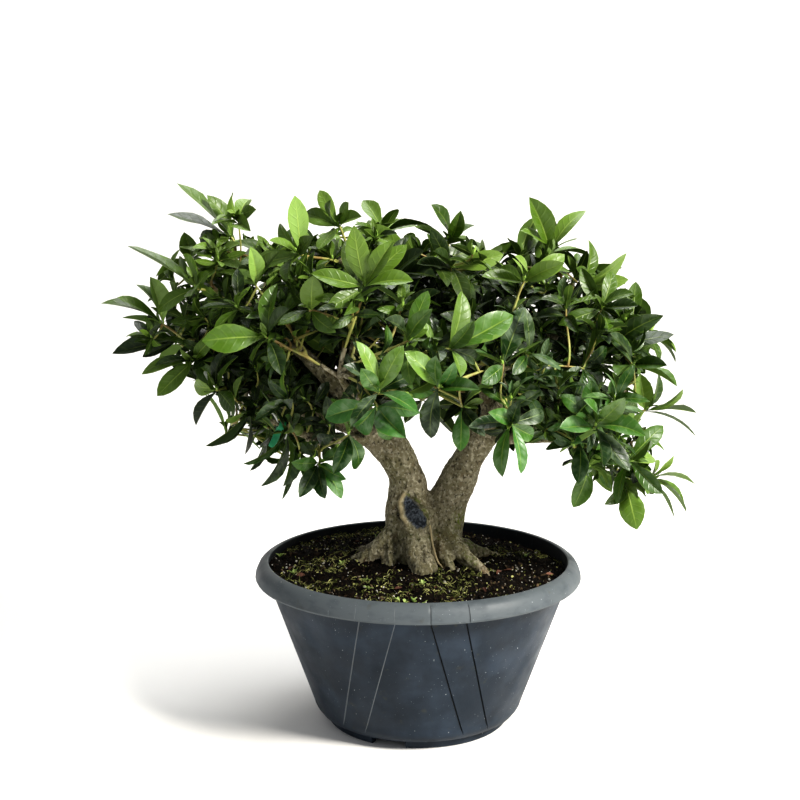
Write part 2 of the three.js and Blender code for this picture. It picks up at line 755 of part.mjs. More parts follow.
// Whether two triangles cross. They may share a corner or an edge, but not lie folded flat over it.
function trianglesCross(first, second) {
  const shared = first.filter((corner) => isCornerOf(corner, second));
  if (shared.length < 2) {
    return edgesPierce(first, second) || edgesPierce(second, first);
  }
  const [start, end] = shared;
  const run = end.clone().sub(start).normalize();
  const sides = [first, second].map((triangle) => {
    const free = triangle.find((corner) => !isCornerOf(corner, shared));
    const side = free ? free.clone().sub(start) : new THREE.Vector3();
    return side.addScaledVector(run, -side.dot(run)).normalize();
  });
  return sides[0].dot(sides[1]) > FOLDED_FLAT;
}

// Whether an edge of one triangle goes through the other.
function edgesPierce(from, target) {
  const [a, b, c] = target;
  const normal = b.clone().sub(a).cross(c.clone().sub(a));
  for (let i = 0; i < 3; i += 1) {
    const start = from[i];
    const end = from[(i + 1) % 3];
    if (isCornerOf(start, target) || isCornerOf(end, target)) {
      continue;
    }
    const startSide = start.clone().sub(a).dot(normal);
    const endSide = end.clone().sub(a).dot(normal);
    if (startSide * endSide > 0 || startSide === endSide) {
      continue;
    }
    const hit = start.clone().lerp(end, startSide / (startSide - endSide));
    if (insideTriangle(hit, a, b, c, normal)) {
      return true;
    }
  }
  return false;
}

function insideTriangle(point, a, b, c, normal) {
  const corners = [a, b, c];
  for (let i = 0; i < 3; i += 1) {
    const edge = corners[(i + 1) % 3].clone().sub(corners[i]);
    const toPoint = point.clone().sub(corners[i]);
    if (edge.cross(toPoint).dot(normal) < 0) {
      return false;
    }
  }
  return true;
}

// Whether no two of the triangles cross.
function isSimple(triangles) {
  return triangles.every((one, i) => triangles.slice(i + 1).every((other) => !trianglesCross(one, other)));
}

// A stem and its leaves as one closed mesh. Stems are square tubes. A leaf or a side stem grows out of
// one of a stem's four-cornered sides, so that side becomes its first ring.
class Shoot {
  constructor(name) {
    this.name = name;
    this.points = [];
    this.faces = [];
    this.openSides = [];
  }

  addRing(ring) {
    return ring.map((point) => this.points.push(point) - 1);
  }

  // Joins two rings of any number of points, which run the same way round, with triangles.
  // The two are turned against each other so that the joining edges are short and no triangles cross,
  // neither each other nor those in place. Returns false where every way has some that cross.
  zip(lower, upper, placed = null, passOver = null) {
    const starts = lower.flatMap((_, i) => upper.map((__, j) => [i, j]));
    const plans = starts.map(([i, j]) => this.zipFrom(lower, upper, i, j));
    plans.sort((first, second) => first.cost - second.cost);
    const plan = plans.find(({ faces }) => {
      const triangles = this.triangles(faces);
      return isSimple(triangles) && (placed === null || placed.isClear(triangles, passOver));
    });
    this.faces.push(...(plan ?? plans[0]).faces);
    return plan !== undefined;
  }

  zipFrom(lower, upper, lowerStart, upperStart) {
    const faces = [];
    let cost = 0;
    let i = 0;
    let j = 0;
    const upperSteps = upper.length === 1 ? 0 : upper.length;
    while (i < lower.length || j < upperSteps) {
      const low = lower[(lowerStart + i) % lower.length];
      const high = upper[(upperStart + j) % upper.length];
      cost += this.points[low].distanceTo(this.points[high]);
      if (j === upperSteps || (i + 0.5) / lower.length < (j + 0.5) / upperSteps) {
        i += 1;
        faces.push([low, lower[(lowerStart + i) % lower.length], high]);
      } else {
        j += 1;
        faces.push([low, upper[(upperStart + j) % upper.length], high]);
      }
    }
    return { faces, cost };
  }

  // Closes a ring with a fan of triangles that faces the way the ring runs round.
  close(ring) {
    for (let i = 1; i + 1 < ring.length; i += 1) {
      this.faces.push([ring[0], ring[i], ring[i + 1]]);
    }
  }

  // Adds a stem through rings of points, and returns its sides, which stay open for leaves.
  addStem(rings, firstRing = null) {
    let last = firstRing;
    const sides = [];
    rings.forEach((ring, k) => {
      const next = this.addRing(ring);
      if (last === null) {
        this.close([...next].reverse());
      } else if (k === 0) {
        this.zip(last, next);
      } else {
        for (let i = 0; i < next.length; i += 1) {
          const j = (i + 1) % next.length;
          sides.push(this.openSide([last[i], last[j], next[j], next[i]], k));
        }
      }
      last = next;
    });
    sides.push(this.openSide(last, rings.length));
    return sides;
  }

  openSide(corners, segment) {
    const [a, b, c, d] = corners.map((i) => this.points[i]);
    const middle = a.clone().add(b).add(c).add(d).multiplyScalar(0.25);
    const normal = c.clone().sub(a).cross(d.clone().sub(b)).normalize();
    const side = { corners, middle, normal, segment, taken: false };
    this.openSides.push(side);
    return side;
  }

  // The triangles of a side that nothing grows from.
  sideFaces(side) {
    const [a, b, c, d] = side.corners;
    return [[a, b, c], [a, c, d]];
  }

  triangles(faces) {
    return faces.map((face) => face.map((i) => this.points[i]));
  }

  // Grows a leaf out of a side and returns its triangles. Where they would cross each other or what is
  // in place, it adds nothing and returns nothing.
  addLeaf(side, leaf, own, placed) {
    const keptPoints = this.points.length;
    const keptFaces = this.faces.length;
    let last = side.corners;
    let isFree = true;
    for (const ring of leafRings(leaf)) {
      const next = this.addRing(ring);
      isFree = isFree && this.zip(last, next, own, side);
      last = next;
    }
    const added = this.triangles(this.faces.slice(keptFaces));
    if (isFree && isSimple(added) && own.isClear(added, side) && placed.isClear(added, this.name)) {
      side.taken = true;
      return added;
    }
    this.points.length = keptPoints;
    this.faces.length = keptFaces;
    return null;
  }

  // The triangles so far, for testing leaves. Those of each open side are kept under it.
  placedParts() {
    const parts = new Placed();
    parts.add(this.triangles(this.faces), "stem");
    for (const side of this.openSides.filter((one) => !one.taken)) {
      parts.add(this.triangles(this.sideFaces(side)), side);
    }
    return parts;
  }

  geometry() {
    const faces = [...this.faces];
    for (const side of this.openSides.filter((one) => !one.taken)) {
      faces.push(...this.sideFaces(side));
    }
    const numbers = this.points.flatMap((point) => point.toArray());
    const geometry = new THREE.BufferGeometry();
    geometry.setAttribute("position", new THREE.Float32BufferAttribute(numbers, 3));
    geometry.setIndex(faces.flat());
    const flat = geometry.toNonIndexed();
    flat.computeVertexNormals();
    return flat;
  }
}

// The rings of a leaf past its foot: right edge, keel and left edge, then the tip.
// The rib rises off the straight line from foot to tip by the arch.
function leafRings(leaf, extra = 0) {
  const axis = leaf.tip.clone().sub(leaf.foot);
  const length = axis.length();
  axis.normalize();
  const across = axis.clone().cross(leaf.face).normalize();
  const face = across.clone().cross(axis).normalize();
  const rings = LEAF_SECTIONS.map(({ at, half, thick }) => {
    const rise = LEAF_ARCH * length * 4 * at * (1 - at);
    const middle = leaf.foot.clone().addScaledVector(axis, length * at);
    middle.addScaledVector(face, rise);
    const thickness = LEAF_THICKNESS * thick;
    const top = middle.clone().addScaledVector(face, thickness * LEAF_ABOVE + extra);
    const right = top.clone().addScaledVector(across, leaf.width * half + extra);
    const left = top.clone().addScaledVector(across, -leaf.width * half - extra);
    const keel = middle.addScaledVector(face, thickness * (LEAF_ABOVE - 1) - extra);
    return [right, keel, left];
  });
  rings.push([leaf.tip.clone().addScaledVector(axis, extra)]);
  return rings;
}

// A stand-in for a leaf, larger all round, for testing whether it is clear of the other shoots.
function paddedLeaf(leaf) {
  const rings = leafRings(leaf, LEAF_CLEARANCE);
  const foot = rings[0].map((point) => leaf.foot.clone().lerp(point, PADDED_FROM));
  return trianglesOf(capped([foot, ...rings]));
}

// Which way the upper side of a leaf looks. By rule that is along its stem, up and outwards, and for an
// aimed leaf also towards the viewer. A leaf with a width that shows is turned until it shows that.
function leafFace(leaf, stemAlong, turn, wanted) {
  const axis = leaf.tip.clone().sub(leaf.foot).normalize();
  const towards = toVector(VIEWER).sub(leaf.foot).normalize();
  if (wanted.shows) {
    const faceOn = towards.addScaledVector(axis, -towards.dot(axis)).normalize();
    const away = Math.acos(Math.min(wanted.shows / leaf.width, 1));
    const sides = [away, -away].map((angle) => faceOn.clone().applyAxisAngle(axis, angle));
    return (sides[0].z > sides[1].z ? sides[0] : sides[1]).applyAxisAngle(axis, turn * KEPT_TWIST);
  }
  const outward = new THREE.Vector3(leaf.foot.x * CROWN_SQUASH, leaf.foot.y, 0).normalize();
  const face = stemAlong.clone().multiplyScalar(FACE_ALONG);
  face.addScaledVector(up, FACE_UP);
  face.addScaledVector(outward, FACE_OUT);
  face.addScaledVector(towards, wanted.tip ? FACE_VIEWER : 0);
  face.addScaledVector(axis, -face.dot(axis));
  return face.normalize().applyAxisAngle(axis, turn);
}

// The height of a bent line of [x, z] points at a place.
function heightAt(line, x) {
  const after = line.findIndex(([place], i) => i > 0 && (place > x || i === line.length - 1));
  const [x0, z0] = line[after - 1];
  const [x1, z1] = line[after];
  return lerp(z0, z1, THREE.MathUtils.clamp((x - x0) / (x1 - x0), 0, 1));
}

// Whether a point lies within the crown's outline as the viewer sees it.
function isInOutline(point) {
  const eye = toVector(VIEWER);
  const seen = point.clone().sub(eye);
  seen.multiplyScalar(-eye.y / seen.y).add(eye);
  return seen.z < heightAt(CROWN_TOP, seen.x) && seen.z > heightAt(CROWN_BOTTOM, seen.x);
}

// What the leaves of a rosette should be: aimed ones reach given tips, and the rest spread by rule.
function wantedLeaves(rosette, key) {
  const wanted = [];
  for (const [i, [x, z, shows]] of rosette.tips.entries()) {
    const seed = key * 16 + i;
    const seen = Math.hypot(x - rosette.at.x, z - rosette.at.z);
    const length = Math.max(lerp(...LEAF_LENGTH, draw(seed, 1)), seen + 1);
    const depth = Math.min(Math.sqrt(length ** 2 - seen ** 2), LEAF_MOST_LEAN);
    const towards = draw(seed, 2) < LEAF_NEAR_SIDE ? -1 : 1;
    wanted.push({ tip: new THREE.Vector3(x, rosette.at.y + towards * depth, z), shows, seed });
  }
  for (let i = 0; i < rosette.count; i += 1) {
    wanted.push({ seed: key * 16 + rosette.tips.length + i });
  }
  return wanted;
}

// The span of a leaf from its foot: to its given tip, or out of the side of the stem by rule.
function leafSpan(wanted, side, along) {
  if (wanted.tip) {
    return wanted.tip.clone().sub(side.middle);
  }
  const { seed } = wanted;
  const open = lerp(...LEAF_OPENING, draw(seed, 4));
  const out = side.normal.clone().addScaledVector(along, -side.normal.dot(along));
  if (out.length() < END_SIDE) {
    out.set(draw(seed, 6) - 0.5, draw(seed, 7) - 0.5, END_LIFT);
  }
  out.normalize().applyAxisAngle(along, draw(seed, 8) - 0.5);
  const direction = along.clone().multiplyScalar(Math.cos(open)).addScaledVector(out, Math.sin(open));
  return direction.multiplyScalar(lerp(...LEAF_LENGTH, draw(seed, 1)));
}

// Finds a side of the stem and a place for a leaf that is clear of all others, by turning, tilting and
// shortening it. Returns the leaf's triangles, or nothing where there is no such place.
function settleLeaf(wanted, shoot, sides, along, placed, own) {
  const share = lerp(...LEAF_WIDTH_SHARE, draw(wanted.seed, 5));
  const aimed = Boolean(wanted.tip);
  for (let attempt = 0; attempt < LEAF_TRIES; attempt += 1) {
    const turn = attempt * (aimed ? AIMED_TURN : FREE_TURN);
    const swing = turn * (draw(wanted.seed, 10 + attempt) < 0.5 ? -1 : 1);
    const tilt = turn * (draw(wanted.seed, 30 + attempt) - 0.5);
    const shorter = 1 - TRY_SHORTER * attempt;
    const choices = sides.filter((side) => !side.taken).map((side) => {
      const span = leafSpan(wanted, side, along).multiplyScalar(shorter);
      span.applyAxisAngle(along, swing);
      span.applyAxisAngle(span.clone().cross(along).normalize(), tilt);
      return { side, span, facing: span.clone().normalize().dot(side.normal) };
    });
    choices.sort((first, second) => second.facing - first.facing);
    for (const { side, span, facing } of choices.slice(0, aimed ? SIDES_TRIED.aimed : SIDES_TRIED.free)) {
      if (facing < LEAST_FACING) {
        continue;
      }
      const foot = side.middle;
      const byRule = share * Math.max(span.length(), LEAF_LENGTH[0]);
      const width = Math.min(Math.max(byRule, wanted.shows ?? 0), LEAF_WIDEST) * shorter;
      const leaf = { foot, tip: foot.clone().add(span), width };
      leaf.face = leafFace(leaf, along, (draw(wanted.seed, 50 + attempt) - 0.5) * FACE_TWIST, wanted);
      const outside = !aimed && !isInOutline(leaf.tip);
      if (outside || !placed.isClear(paddedLeaf(leaf), shoot.name)) {
        continue;
      }
      const added = shoot.mesh.addLeaf(side, leaf, own, placed);
      if (added !== null) {
        return added;
      }
    }
  }
  return null;
}

// The point of a branch from which a shoot can grow towards a place, and the branch's run there.
function attachment(target, salt) {
  let best = null;
  for (const entries of Object.values(BRANCHES)) {
    const curve = smoothCurve(entries);
    for (let k = 0; k < BRANCH_PLACES; k += 1) {
      const t = lerp(BRANCH_BARE, 1, k / (BRANCH_PLACES - 1));
      const point = curve.getPoint(t);
      const run = curve.getTangent(t);
      const span = target.clone().sub(point);
      const bend = 1 - span.clone().normalize().dot(run);
      const cost = span.length() * (1 + BEND_COST * bend) + PLACE_JITTER * draw(k, salt);
      if (span.length() > LEAST_SHOOT && (best === null || cost < best.cost)) {
        best = { cost, point, run };
      }
    }
  }
  return best;
}

// The path of a shoot, from its branch to its main rosette. Later tries sway more.
function shootPath(start, run, end, salt, attempt) {
  const reach = start.distanceTo(end);
  const away = new THREE.Vector3(end.x * CROWN_SQUASH, end.y, STEM_RISE).normalize();
  const sway = new THREE.Vector3(...[71, 72, 73].map((key) => draw(salt, key + attempt) - 0.5));
  sway.multiplyScalar(reach * STEM_SWAY * attempt);
  const direct = end.clone().sub(start).multiplyScalar(STEM_DIRECT);
  const leave = start.clone().addScaledVector(run, reach * STEM_BEND).add(direct);
  const arrive = end.clone().addScaledVector(away, -reach * STEM_BEND).sub(direct);
  leave.add(sway);
  arrive.add(sway.multiplyScalar(SWAY_AT_END));
  return new THREE.CubicBezierCurve3(start, leave, arrive, end);
}

// Rings along a curve at given shares of it, with the last ones a fixed height apart for the leaves.
function stemRings(curve, shares, zones, radius, tipRadius) {
  const points = [];
  const runs = [];
  const end = curve.getPoint(1);
  const endRun = curve.getTangent(1);
  for (const t of shares) {
    points.push(curve.getPoint(t));
    runs.push(curve.getTangent(t));
  }
  for (let zone = zones; zone >= 0; zone -= 1) {
    points.push(end.clone().addScaledVector(endRun, -zone * ZONE_HEIGHT));
    runs.push(endRun);
  }
  const radii = points.map((_, k) => lerp(radius, tipRadius, k / (points.length - 1)));
  return { points, runs, radii, rings: ringsAlong(points, radii, STEM_SIDES, runs) };
}

function paddedStem({ points, radii, runs }) {
  const padded = radii.slice(1).map((radius) => radius + STEM_CLEARANCE);
  return trianglesOf(tube(points.slice(1), padded, STEM_SIDES, runs.slice(1)));
}

// All the shoots, those of the front first, so that they get the places they need.
function listShoots() {
  const shoots = FRONT_SHOOTS.map((shoot, i) => ({
    name: shoot.name,
    key: i + 1,
    rosettes: shoot.rosettes.map((rosette) => ({
      at: toVector(rosette.at),
      tips: rosette.tips,
      count: FRONT_FILLERS[rosette.tips.length < MANY_TIPS ? 0 : 1],
    })),
  }));
  for (const tier of TIERS) {
    for (let i = 0; i < tier.count; i += 1) {
      const key = shoots.length + 1;
      const angle = toRadians(lerp(tier.from, tier.to, i / (tier.count - 1)));
      const jitter = (salt) => TIER_JITTER * (draw(key, salt) - 0.5);
      const x = tier.reach[0] * Math.cos(angle) + jitter(61);
      const y = tier.reach[1] * Math.sin(angle) + jitter(62);
      const z = tier.height + tier.lift * Math.cos(2 * angle) + jitter(63);
      const main = new THREE.Vector3(x, y, z);
      const turn = draw(key, 64) < 0.5 ? -1 : 1;
      const aside = new THREE.Vector3(-Math.sin(angle) * turn, Math.cos(angle) * turn, SIDE_ROSETTE_RISE[0]);
      const inward = new THREE.Vector3(-Math.cos(angle), -Math.sin(angle), SIDE_ROSETTE_RISE[1]);
      const second = main.clone().addScaledVector(aside, SIDE_ROSETTE.aside);
      second.addScaledVector(inward, SIDE_ROSETTE.inward);
      shoots.push({
        name: `${tier.name}_${i + 1}`,
        key,
        rosettes: [
          { at: main, tips: [], count: TIER_LEAVES[0] },
          { at: second, tips: [], count: TIER_LEAVES[1] },
        ],
      });
    }
  }
  return shoots;
}

// How many whorls of the stem a rosette needs, with the stem's end taking one more leaf.
function zonesFor(rosette) {
  return Math.ceil((rosette.tips.length + rosette.count - 1) / STEM_SIDES);
}

// The woody start of a shoot, which goes to the trunk, and a fatter stand-in for testing it.
function growWood(path) {
  const ends = [path.getPoint(0), path.getPoint(WOODY_SHARE)];
  const runs = [path.getTangent(WOODY_TURN), path.getTangent(WOODY_SHARE)];
  const wood = tube(ends, [TWIG_RADIUS + WOODY_FLARE, TWIG_RADIUS], STEM_SIDES, runs);
  const fat = TWIG_RADIUS + STEM_CLEARANCE;
  const padded = tube([path.getPoint(WOODY_TESTED), ends[1]], [fat, fat], STEM_SIDES);
  return { wood, tests: [trianglesOf(wood), trianglesOf(padded)] };
}

// Notes for a rosette which way its stem runs and which of the stem's sides its leaves may grow from.
function giveSides(rosette, along, sides, ringCount) {
  const firstZone = ringCount - zonesFor(rosette);
  rosette.along = along;
  rosette.sides = sides.filter((side) => side.segment >= firstZone);
}

// The side stem leaves the main one through the side that looks most towards the side rosette.
function growSideStem(mesh, mainSides, path, rosette) {
  const towards = rosette.at.clone().sub(path.getPoint(FORK_SHARE)).normalize();
  const forkSides = mainSides.filter((side) => side.segment === 2);
  forkSides.sort((first, second) => second.normal.dot(towards) - first.normal.dot(towards));
  const [from] = forkSides;
  from.taken = true;
  const leave = from.middle.clone().addScaledVector(from.normal, FORK_LEAVE);
  const span = rosette.at.clone().sub(leave);
  const handle = leave.clone().addScaledVector(from.normal, FORK_LEAVE);
  const bow = leave.clone().addScaledVector(span, FORK_BOW[0]);
  bow.addScaledVector(path.getTangent(FORK_SHARE), span.length() * FORK_BOW[1]);
  const curve = new THREE.CubicBezierCurve3(leave, handle, bow, rosette.at);
  const stem = stemRings(curve, SIDE_RINGS, zonesFor(rosette), SIDE_SHOOT_RADIUS, SIDE_SHOOT_RADIUS);
  giveSides(rosette, curve.getTangent(1), mesh.addStem(stem.rings, from.corners), stem.rings.length);
  return stem;
}

// Grows a shoot's stems along a path that is clear of all that is in place.
function growStems(shoot, placed) {
  const [main, second] = shoot.rosettes;
  const origin = attachment(main.at, shoot.key);
  for (let attempt = 0; attempt < STEM_TRIES; attempt += 1) {
    const path = shootPath(origin.point, origin.run, main.at, shoot.key, attempt);
    const { wood, tests } = growWood(path);
    const forkEnd = FORK_SHARE + (2 * ZONE_HEIGHT) / path.getLength();
    const shares = second ? [WOODY_SHARE, FORK_SHARE, forkEnd, FORKED_RING] : MAIN_RINGS;
    const stem = stemRings(path, shares, zonesFor(main), TWIG_RADIUS, SHOOT_RADIUS);
    stem.rings[0].forEach((point) => point.addScaledVector(path.getTangent(WOODY_SHARE), GAP));
    const mesh = new Shoot(shoot.name);
    const sides = mesh.addStem(stem.rings);
    giveSides(main, path.getTangent(1), sides, stem.rings.length);
    const padded = [paddedStem(stem)];
    if (second) {
      padded.push(paddedStem(growSideStem(mesh, sides, path, second)));
    }
    const own = trianglesOf(asIndexed(mesh.geometry()));
    const stemFree = isSimple(own) && [own, ...padded].every((triangles) => placed.isClear(triangles));
    if (stemFree && tests.every((triangles) => placed.isClear(triangles, "trunk"))) {
      return { mesh, wood };
    }
  }
  return null;
}

// The marker tape: a strip looped round a branch, with its two ends pressed together and hanging.
const TAPE = { branch: "left_under", share: 0.9, radius: 3.4, thickness: 0.7, width: 6, tail: 17 };

function makeTape() {
  const curve = smoothCurve(BRANCHES[TAPE.branch]);
  const along = curve.getTangent(TAPE.share);
  const outer = TAPE.radius + TAPE.thickness;
  const open = Math.asin(TAPE.thickness / outer);
  const shape = new THREE.Shape();
  shape.absarc(0, 0, outer, -Math.PI / 2 + open, 1.5 * Math.PI - open, false);
  shape.lineTo(-TAPE.thickness, -outer - TAPE.tail);
  shape.lineTo(TAPE.thickness, -outer - TAPE.tail);
  shape.closePath();
  const hole = new THREE.Path();
  hole.absarc(0, 0, TAPE.radius, 0, 2 * Math.PI, true);
  shape.holes.push(hole);
  const settings = { depth: TAPE.width, bevelEnabled: false, curveSegments: 5 };
  const geometry = new THREE.ExtrudeGeometry(shape, settings).translate(0, 0, -TAPE.width / 2);
  const upright = up.clone().addScaledVector(along, -up.dot(along)).normalize();
  const sideways = upright.clone().cross(along);
  const pose = new THREE.Matrix4().makeBasis(sideways, upright, along);
  return toSolid(geometry.applyMatrix4(pose.setPosition(curve.getPoint(TAPE.share))));
}

const LOOKS = {
  pot: { color: 0x2b3138, roughness: 0.55, metalness: 0 },
  soil: { color: 0x2a2018, roughness: 1, metalness: 0 },
  trunk: { color: 0x6f6353, roughness: 0.9, metalness: 0 },
  marker_tape: { color: 0x2f9e6b, roughness: 0.5, metalness: 0 },
  leaf: { color: 0x4f7d2a, roughness: 0.45, metalness: 0 },
};

function addNode(group, name, geometry, look) {
  const mesh = new THREE.Mesh(geometry, new THREE.MeshStandardMaterial(look));
  mesh.name = name;
  group.add(mesh);
}

// Grows every shoot, then gives each its leaves, those of the front first.
function growShoots(placed, bodies) {
  const grown = [];
  for (const shoot of listShoots()) {
    const stems = growStems(shoot, placed);
    if (stems === null) {
      continue;
    }
    shoot.mesh = stems.mesh;
    bodies.push(stems.wood);
    placed.add(trianglesOf(stems.wood), "trunk");
    placed.add(trianglesOf(asIndexed(shoot.mesh.geometry())), shoot.name);
    grown.push(shoot);
  }
  for (const shoot of grown) {
    const own = shoot.mesh.placedParts();
    shoot.rosettes.forEach((rosette, k) => {
      for (const wanted of wantedLeaves(rosette, shoot.key * 2 + k)) {
        const added = settleLeaf(wanted, shoot, rosette.sides, rosette.along, placed, own);
        if (added !== null) {
          placed.add(added, shoot.name);
          own.add(added, "leaf");
        }
      }
    });
  }
  return grown;
}

function asIndexed(geometry) {
  return mergeVertices(geometry.clone().deleteAttribute("normal"), 1e-4);
}

function makeTree() {
  const group = new THREE.Group();
  const placed = new Placed();
  const bodies = trunkBodies(0);
  bodies.push(taperedTube(SCAR, SCAR_SIDES, SCAR_STEPS));
  for (const entries of Object.values(BRANCHES)) {
    bodies.push(taperedTube(entries, BRANCH_SIDES, BRANCH_STEPS));
  }
  for (const body of bodies) {
    placed.add(trianglesOf(body), "trunk");
  }
  const tape = toGeometry(makeTape());
  placed.add(trianglesOf(asIndexed(tape)), "tape");
  const shoots = growShoots(placed, bodies);

  addNode(group, "pot", toGeometry(makePot()), LOOKS.pot);
  addNode(group, "soil", toGeometry(makeSoil(joined(trunkBodies(GAP)))), LOOKS.soil);
  addNode(group, "trunk", toGeometry(joined(bodies)), LOOKS.trunk);
  addNode(group, "marker_tape", tape, LOOKS.marker_tape);
  for (const shoot of shoots) {
    addNode(group, `shoot_${shoot.name}`, shoot.mesh.geometry(), LOOKS.leaf);
  }
  return group;
}

export default makeTree();
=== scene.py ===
"""A satsuki azalea bonsai in a moulded plastic training pot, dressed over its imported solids.

Shapes are made in millimetres, in the same frame as the solids: +X right, +Y away from the
viewer, +Z up, with the origin at the centre of the pot's foot. make_piece turns them to metres.
"""

import logging
import math
from dataclasses import dataclass, field, replace
from enum import Enum
from itertools import combinations

import bpy
import numpy as np
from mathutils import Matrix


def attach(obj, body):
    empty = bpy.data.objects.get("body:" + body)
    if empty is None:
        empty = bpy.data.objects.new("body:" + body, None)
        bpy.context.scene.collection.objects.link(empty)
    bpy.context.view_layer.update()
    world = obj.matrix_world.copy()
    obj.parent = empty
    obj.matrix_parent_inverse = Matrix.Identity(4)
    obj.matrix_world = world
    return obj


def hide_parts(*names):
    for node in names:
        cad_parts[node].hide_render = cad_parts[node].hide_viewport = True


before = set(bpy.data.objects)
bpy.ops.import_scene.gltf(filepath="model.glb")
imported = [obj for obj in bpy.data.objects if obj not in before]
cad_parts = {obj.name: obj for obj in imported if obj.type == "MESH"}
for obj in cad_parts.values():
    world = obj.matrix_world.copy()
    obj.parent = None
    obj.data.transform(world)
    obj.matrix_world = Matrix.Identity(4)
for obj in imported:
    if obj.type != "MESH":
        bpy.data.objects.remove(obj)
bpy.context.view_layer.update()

Array = np.ndarray
Colour = tuple[float, float, float, float]
Span = tuple[float, float]
Triple = tuple[float, float, float]
Path = tuple[tuple[float, ...], ...]
Random = np.random.Generator
Material = bpy.types.Material
Socket = bpy.types.NodeSocket

LOG = logging.getLogger("bonsai")
MM = 0.001
BODY = "root"
NO_POINT = -1
# Where the photo was taken from.
EYE = np.array([-16.6, -1200.0, 490.0])


class Slot(Enum):
    """The record's material slots."""

    POT = "pot"
    SOIL = "soil"
    BARK = "bark"
    TAPE = "tape"
    LEAF = "leaf"


# Numbers


def linear(code: str) -> Colour:
    """Turn an sRGB hex code into linear red, green, blue and alpha.

    Args:
        code: six hex digits after a hash sign.

    Returns:
        The linear colour, with alpha 1.
    """
    shares = [int(code[i : i + 2], 16) / 255 for i in (1, 3, 5)]
    red, green, blue = (s / 12.92 if s <= 0.04045 else ((s + 0.055) / 1.055) ** 2.4 for s in shares)
    return (red, green, blue, 1.0)


def unit(vectors: Array) -> Array:
    """Scale vectors, kept in the last axis, to length 1."""
    return vectors / np.maximum(np.linalg.norm(vectors, axis=-1, keepdims=True), 1e-9)


def smooth(values: Array, low: float, high: float) -> Array:
    """Go from 0 at low to 1 at high along the curve 3t² − 2t³."""
    share = np.clip((values - low) / (high - low), 0, 1)
    return share * share * (3 - 2 * share)


def mix(low: Array | float, high: Array | float, share: Array | float) -> Array:
    """Go in a straight line from low at share 0 to high at share 1."""
    return low + (high - low) * share


def bell(*shares: Array) -> Array:
    """Fall from 1 in the middle along exp(−s² − t²), with s and t the places' distances in widths."""
    return np.exp(-sum(share**2 for share in shares))


def distances(first: Array, second: Array) -> Array:
    """How far each of some points is from each of others."""
    return np.linalg.norm(first[:, None] - second[None], axis=-1)


def seen(points: Array) -> Array:
    """Where points show to the viewer on the upright plane through the trunk, as x and z."""
    ray = points - EYE
    return (EYE + ray * (-EYE[1] / ray[:, 1:2]))[:, [0, 2]]


# Large odd numbers that scatter a corner's place over all values, and half the range of those.
HASH_KEYS = np.array([73856093, 19349663, 83492791])
HASH_SEED = 2654435761
HASH_STIR = 1274126177
HALF_RANGE = 32767.5
CORNERS = np.array([[i, j, k] for i in (0, 1) for j in (0, 1) for k in (0, 1)])


def lattice_noise(points: Array, cell: float | Triple, seed: int) -> Array:
    """Smooth noise from -1 to 1 over space.

    Each corner of a grid of cells has a hashed value. A point's value is the mean of its cell's
    eight corners, each weighted per axis by 3t² − 2t³ of how near it is.

    Args:
        points: the places, one row each.
        cell: the cell's size, one for all axes or one for each.
        seed: another seed gives another noise.

    Returns:
        One value a point.
    """
    scaled = points / cell
    base = np.floor(scaled).astype(np.int64)
    part = scaled - base
    weight = part * part * (3 - 2 * part)
    total = np.zeros(len(points))
    for corner in CORNERS:
        key = ((base + corner) * HASH_KEYS).sum(axis=1) + seed * HASH_SEED
        key = (key ^ (key >> 13)) * HASH_STIR
        value = ((key ^ (key >> 16)) & 0xFFFF) / HALF_RANGE - 1
        total += value * np.where(corner, weight, 1 - weight).prod(axis=1)
    return total


def curve_through(entries: Array | Path, count: int) -> Array:
    """Points on the centripetal Catmull-Rom curve through some entries.

    Each span is a cubic Hermite curve whose end slopes come from the neighbouring entries, with
    knots spaced by the square root of the distances in space.

    Args:
        entries: the rows to go through: x, y and z first, then whatever goes with them.
        count: how many points to return, spread evenly over the entries.

    Returns:
        The points, with the further values carried along in a straight line.
    """
    entries = np.asarray(entries, float)
    place = entries[:, :3]
    ends = [2 * place[0] - place[1], 2 * place[-1] - place[-2]]
    whole = np.vstack([ends[0], place, ends[1]])
    gap = np.sqrt(np.maximum(np.linalg.norm(np.diff(whole, axis=0), axis=1), 1e-6))[:, None]
    step = np.diff(whole, axis=0) / gap
    around = (whole[2:] - whole[:-2]) / (gap[:-1] + gap[1:])
    slope = step[:-1] - around + step[1:]
    at = np.linspace(0, len(entries) - 1, count)
    low = np.minimum(at.astype(int), len(entries) - 2)
    t = (at - low)[:, None]
    span = gap[1:-1][low]
    value = (2 * t**3 - 3 * t**2 + 1) * place[low] + (3 * t**2 - 2 * t**3) * place[low + 1]
    value += (t**3 - 2 * t**2 + t) * slope[low] * span + (t**3 - t**2) * slope[low + 1] * span
    rest = mix(entries[low, 3:], entries[low + 1, 3:], t)
    return np.hstack([value, rest])


# Shapes


@dataclass
class Shape:
    """Points, faces of three or four corners, and values at the points.

    A face of three has NO_POINT as its fourth corner. Faces run anticlockwise seen from outside.
    """

    points: Array
    faces: Array
    values: dict[str, Array] = field(default_factory=dict)

    def with_values(self, **values: Array | float) -> "Shape":
        """Set values at every point, under their names: one number for all or one for each."""
        for name, value in values.items():
            self.values[name] = np.broadcast_to(value, (len(self.points),)).astype(float)
        return self


# Leaves in one shape, and the number of every face's material.
Grown = tuple[Shape, Array]


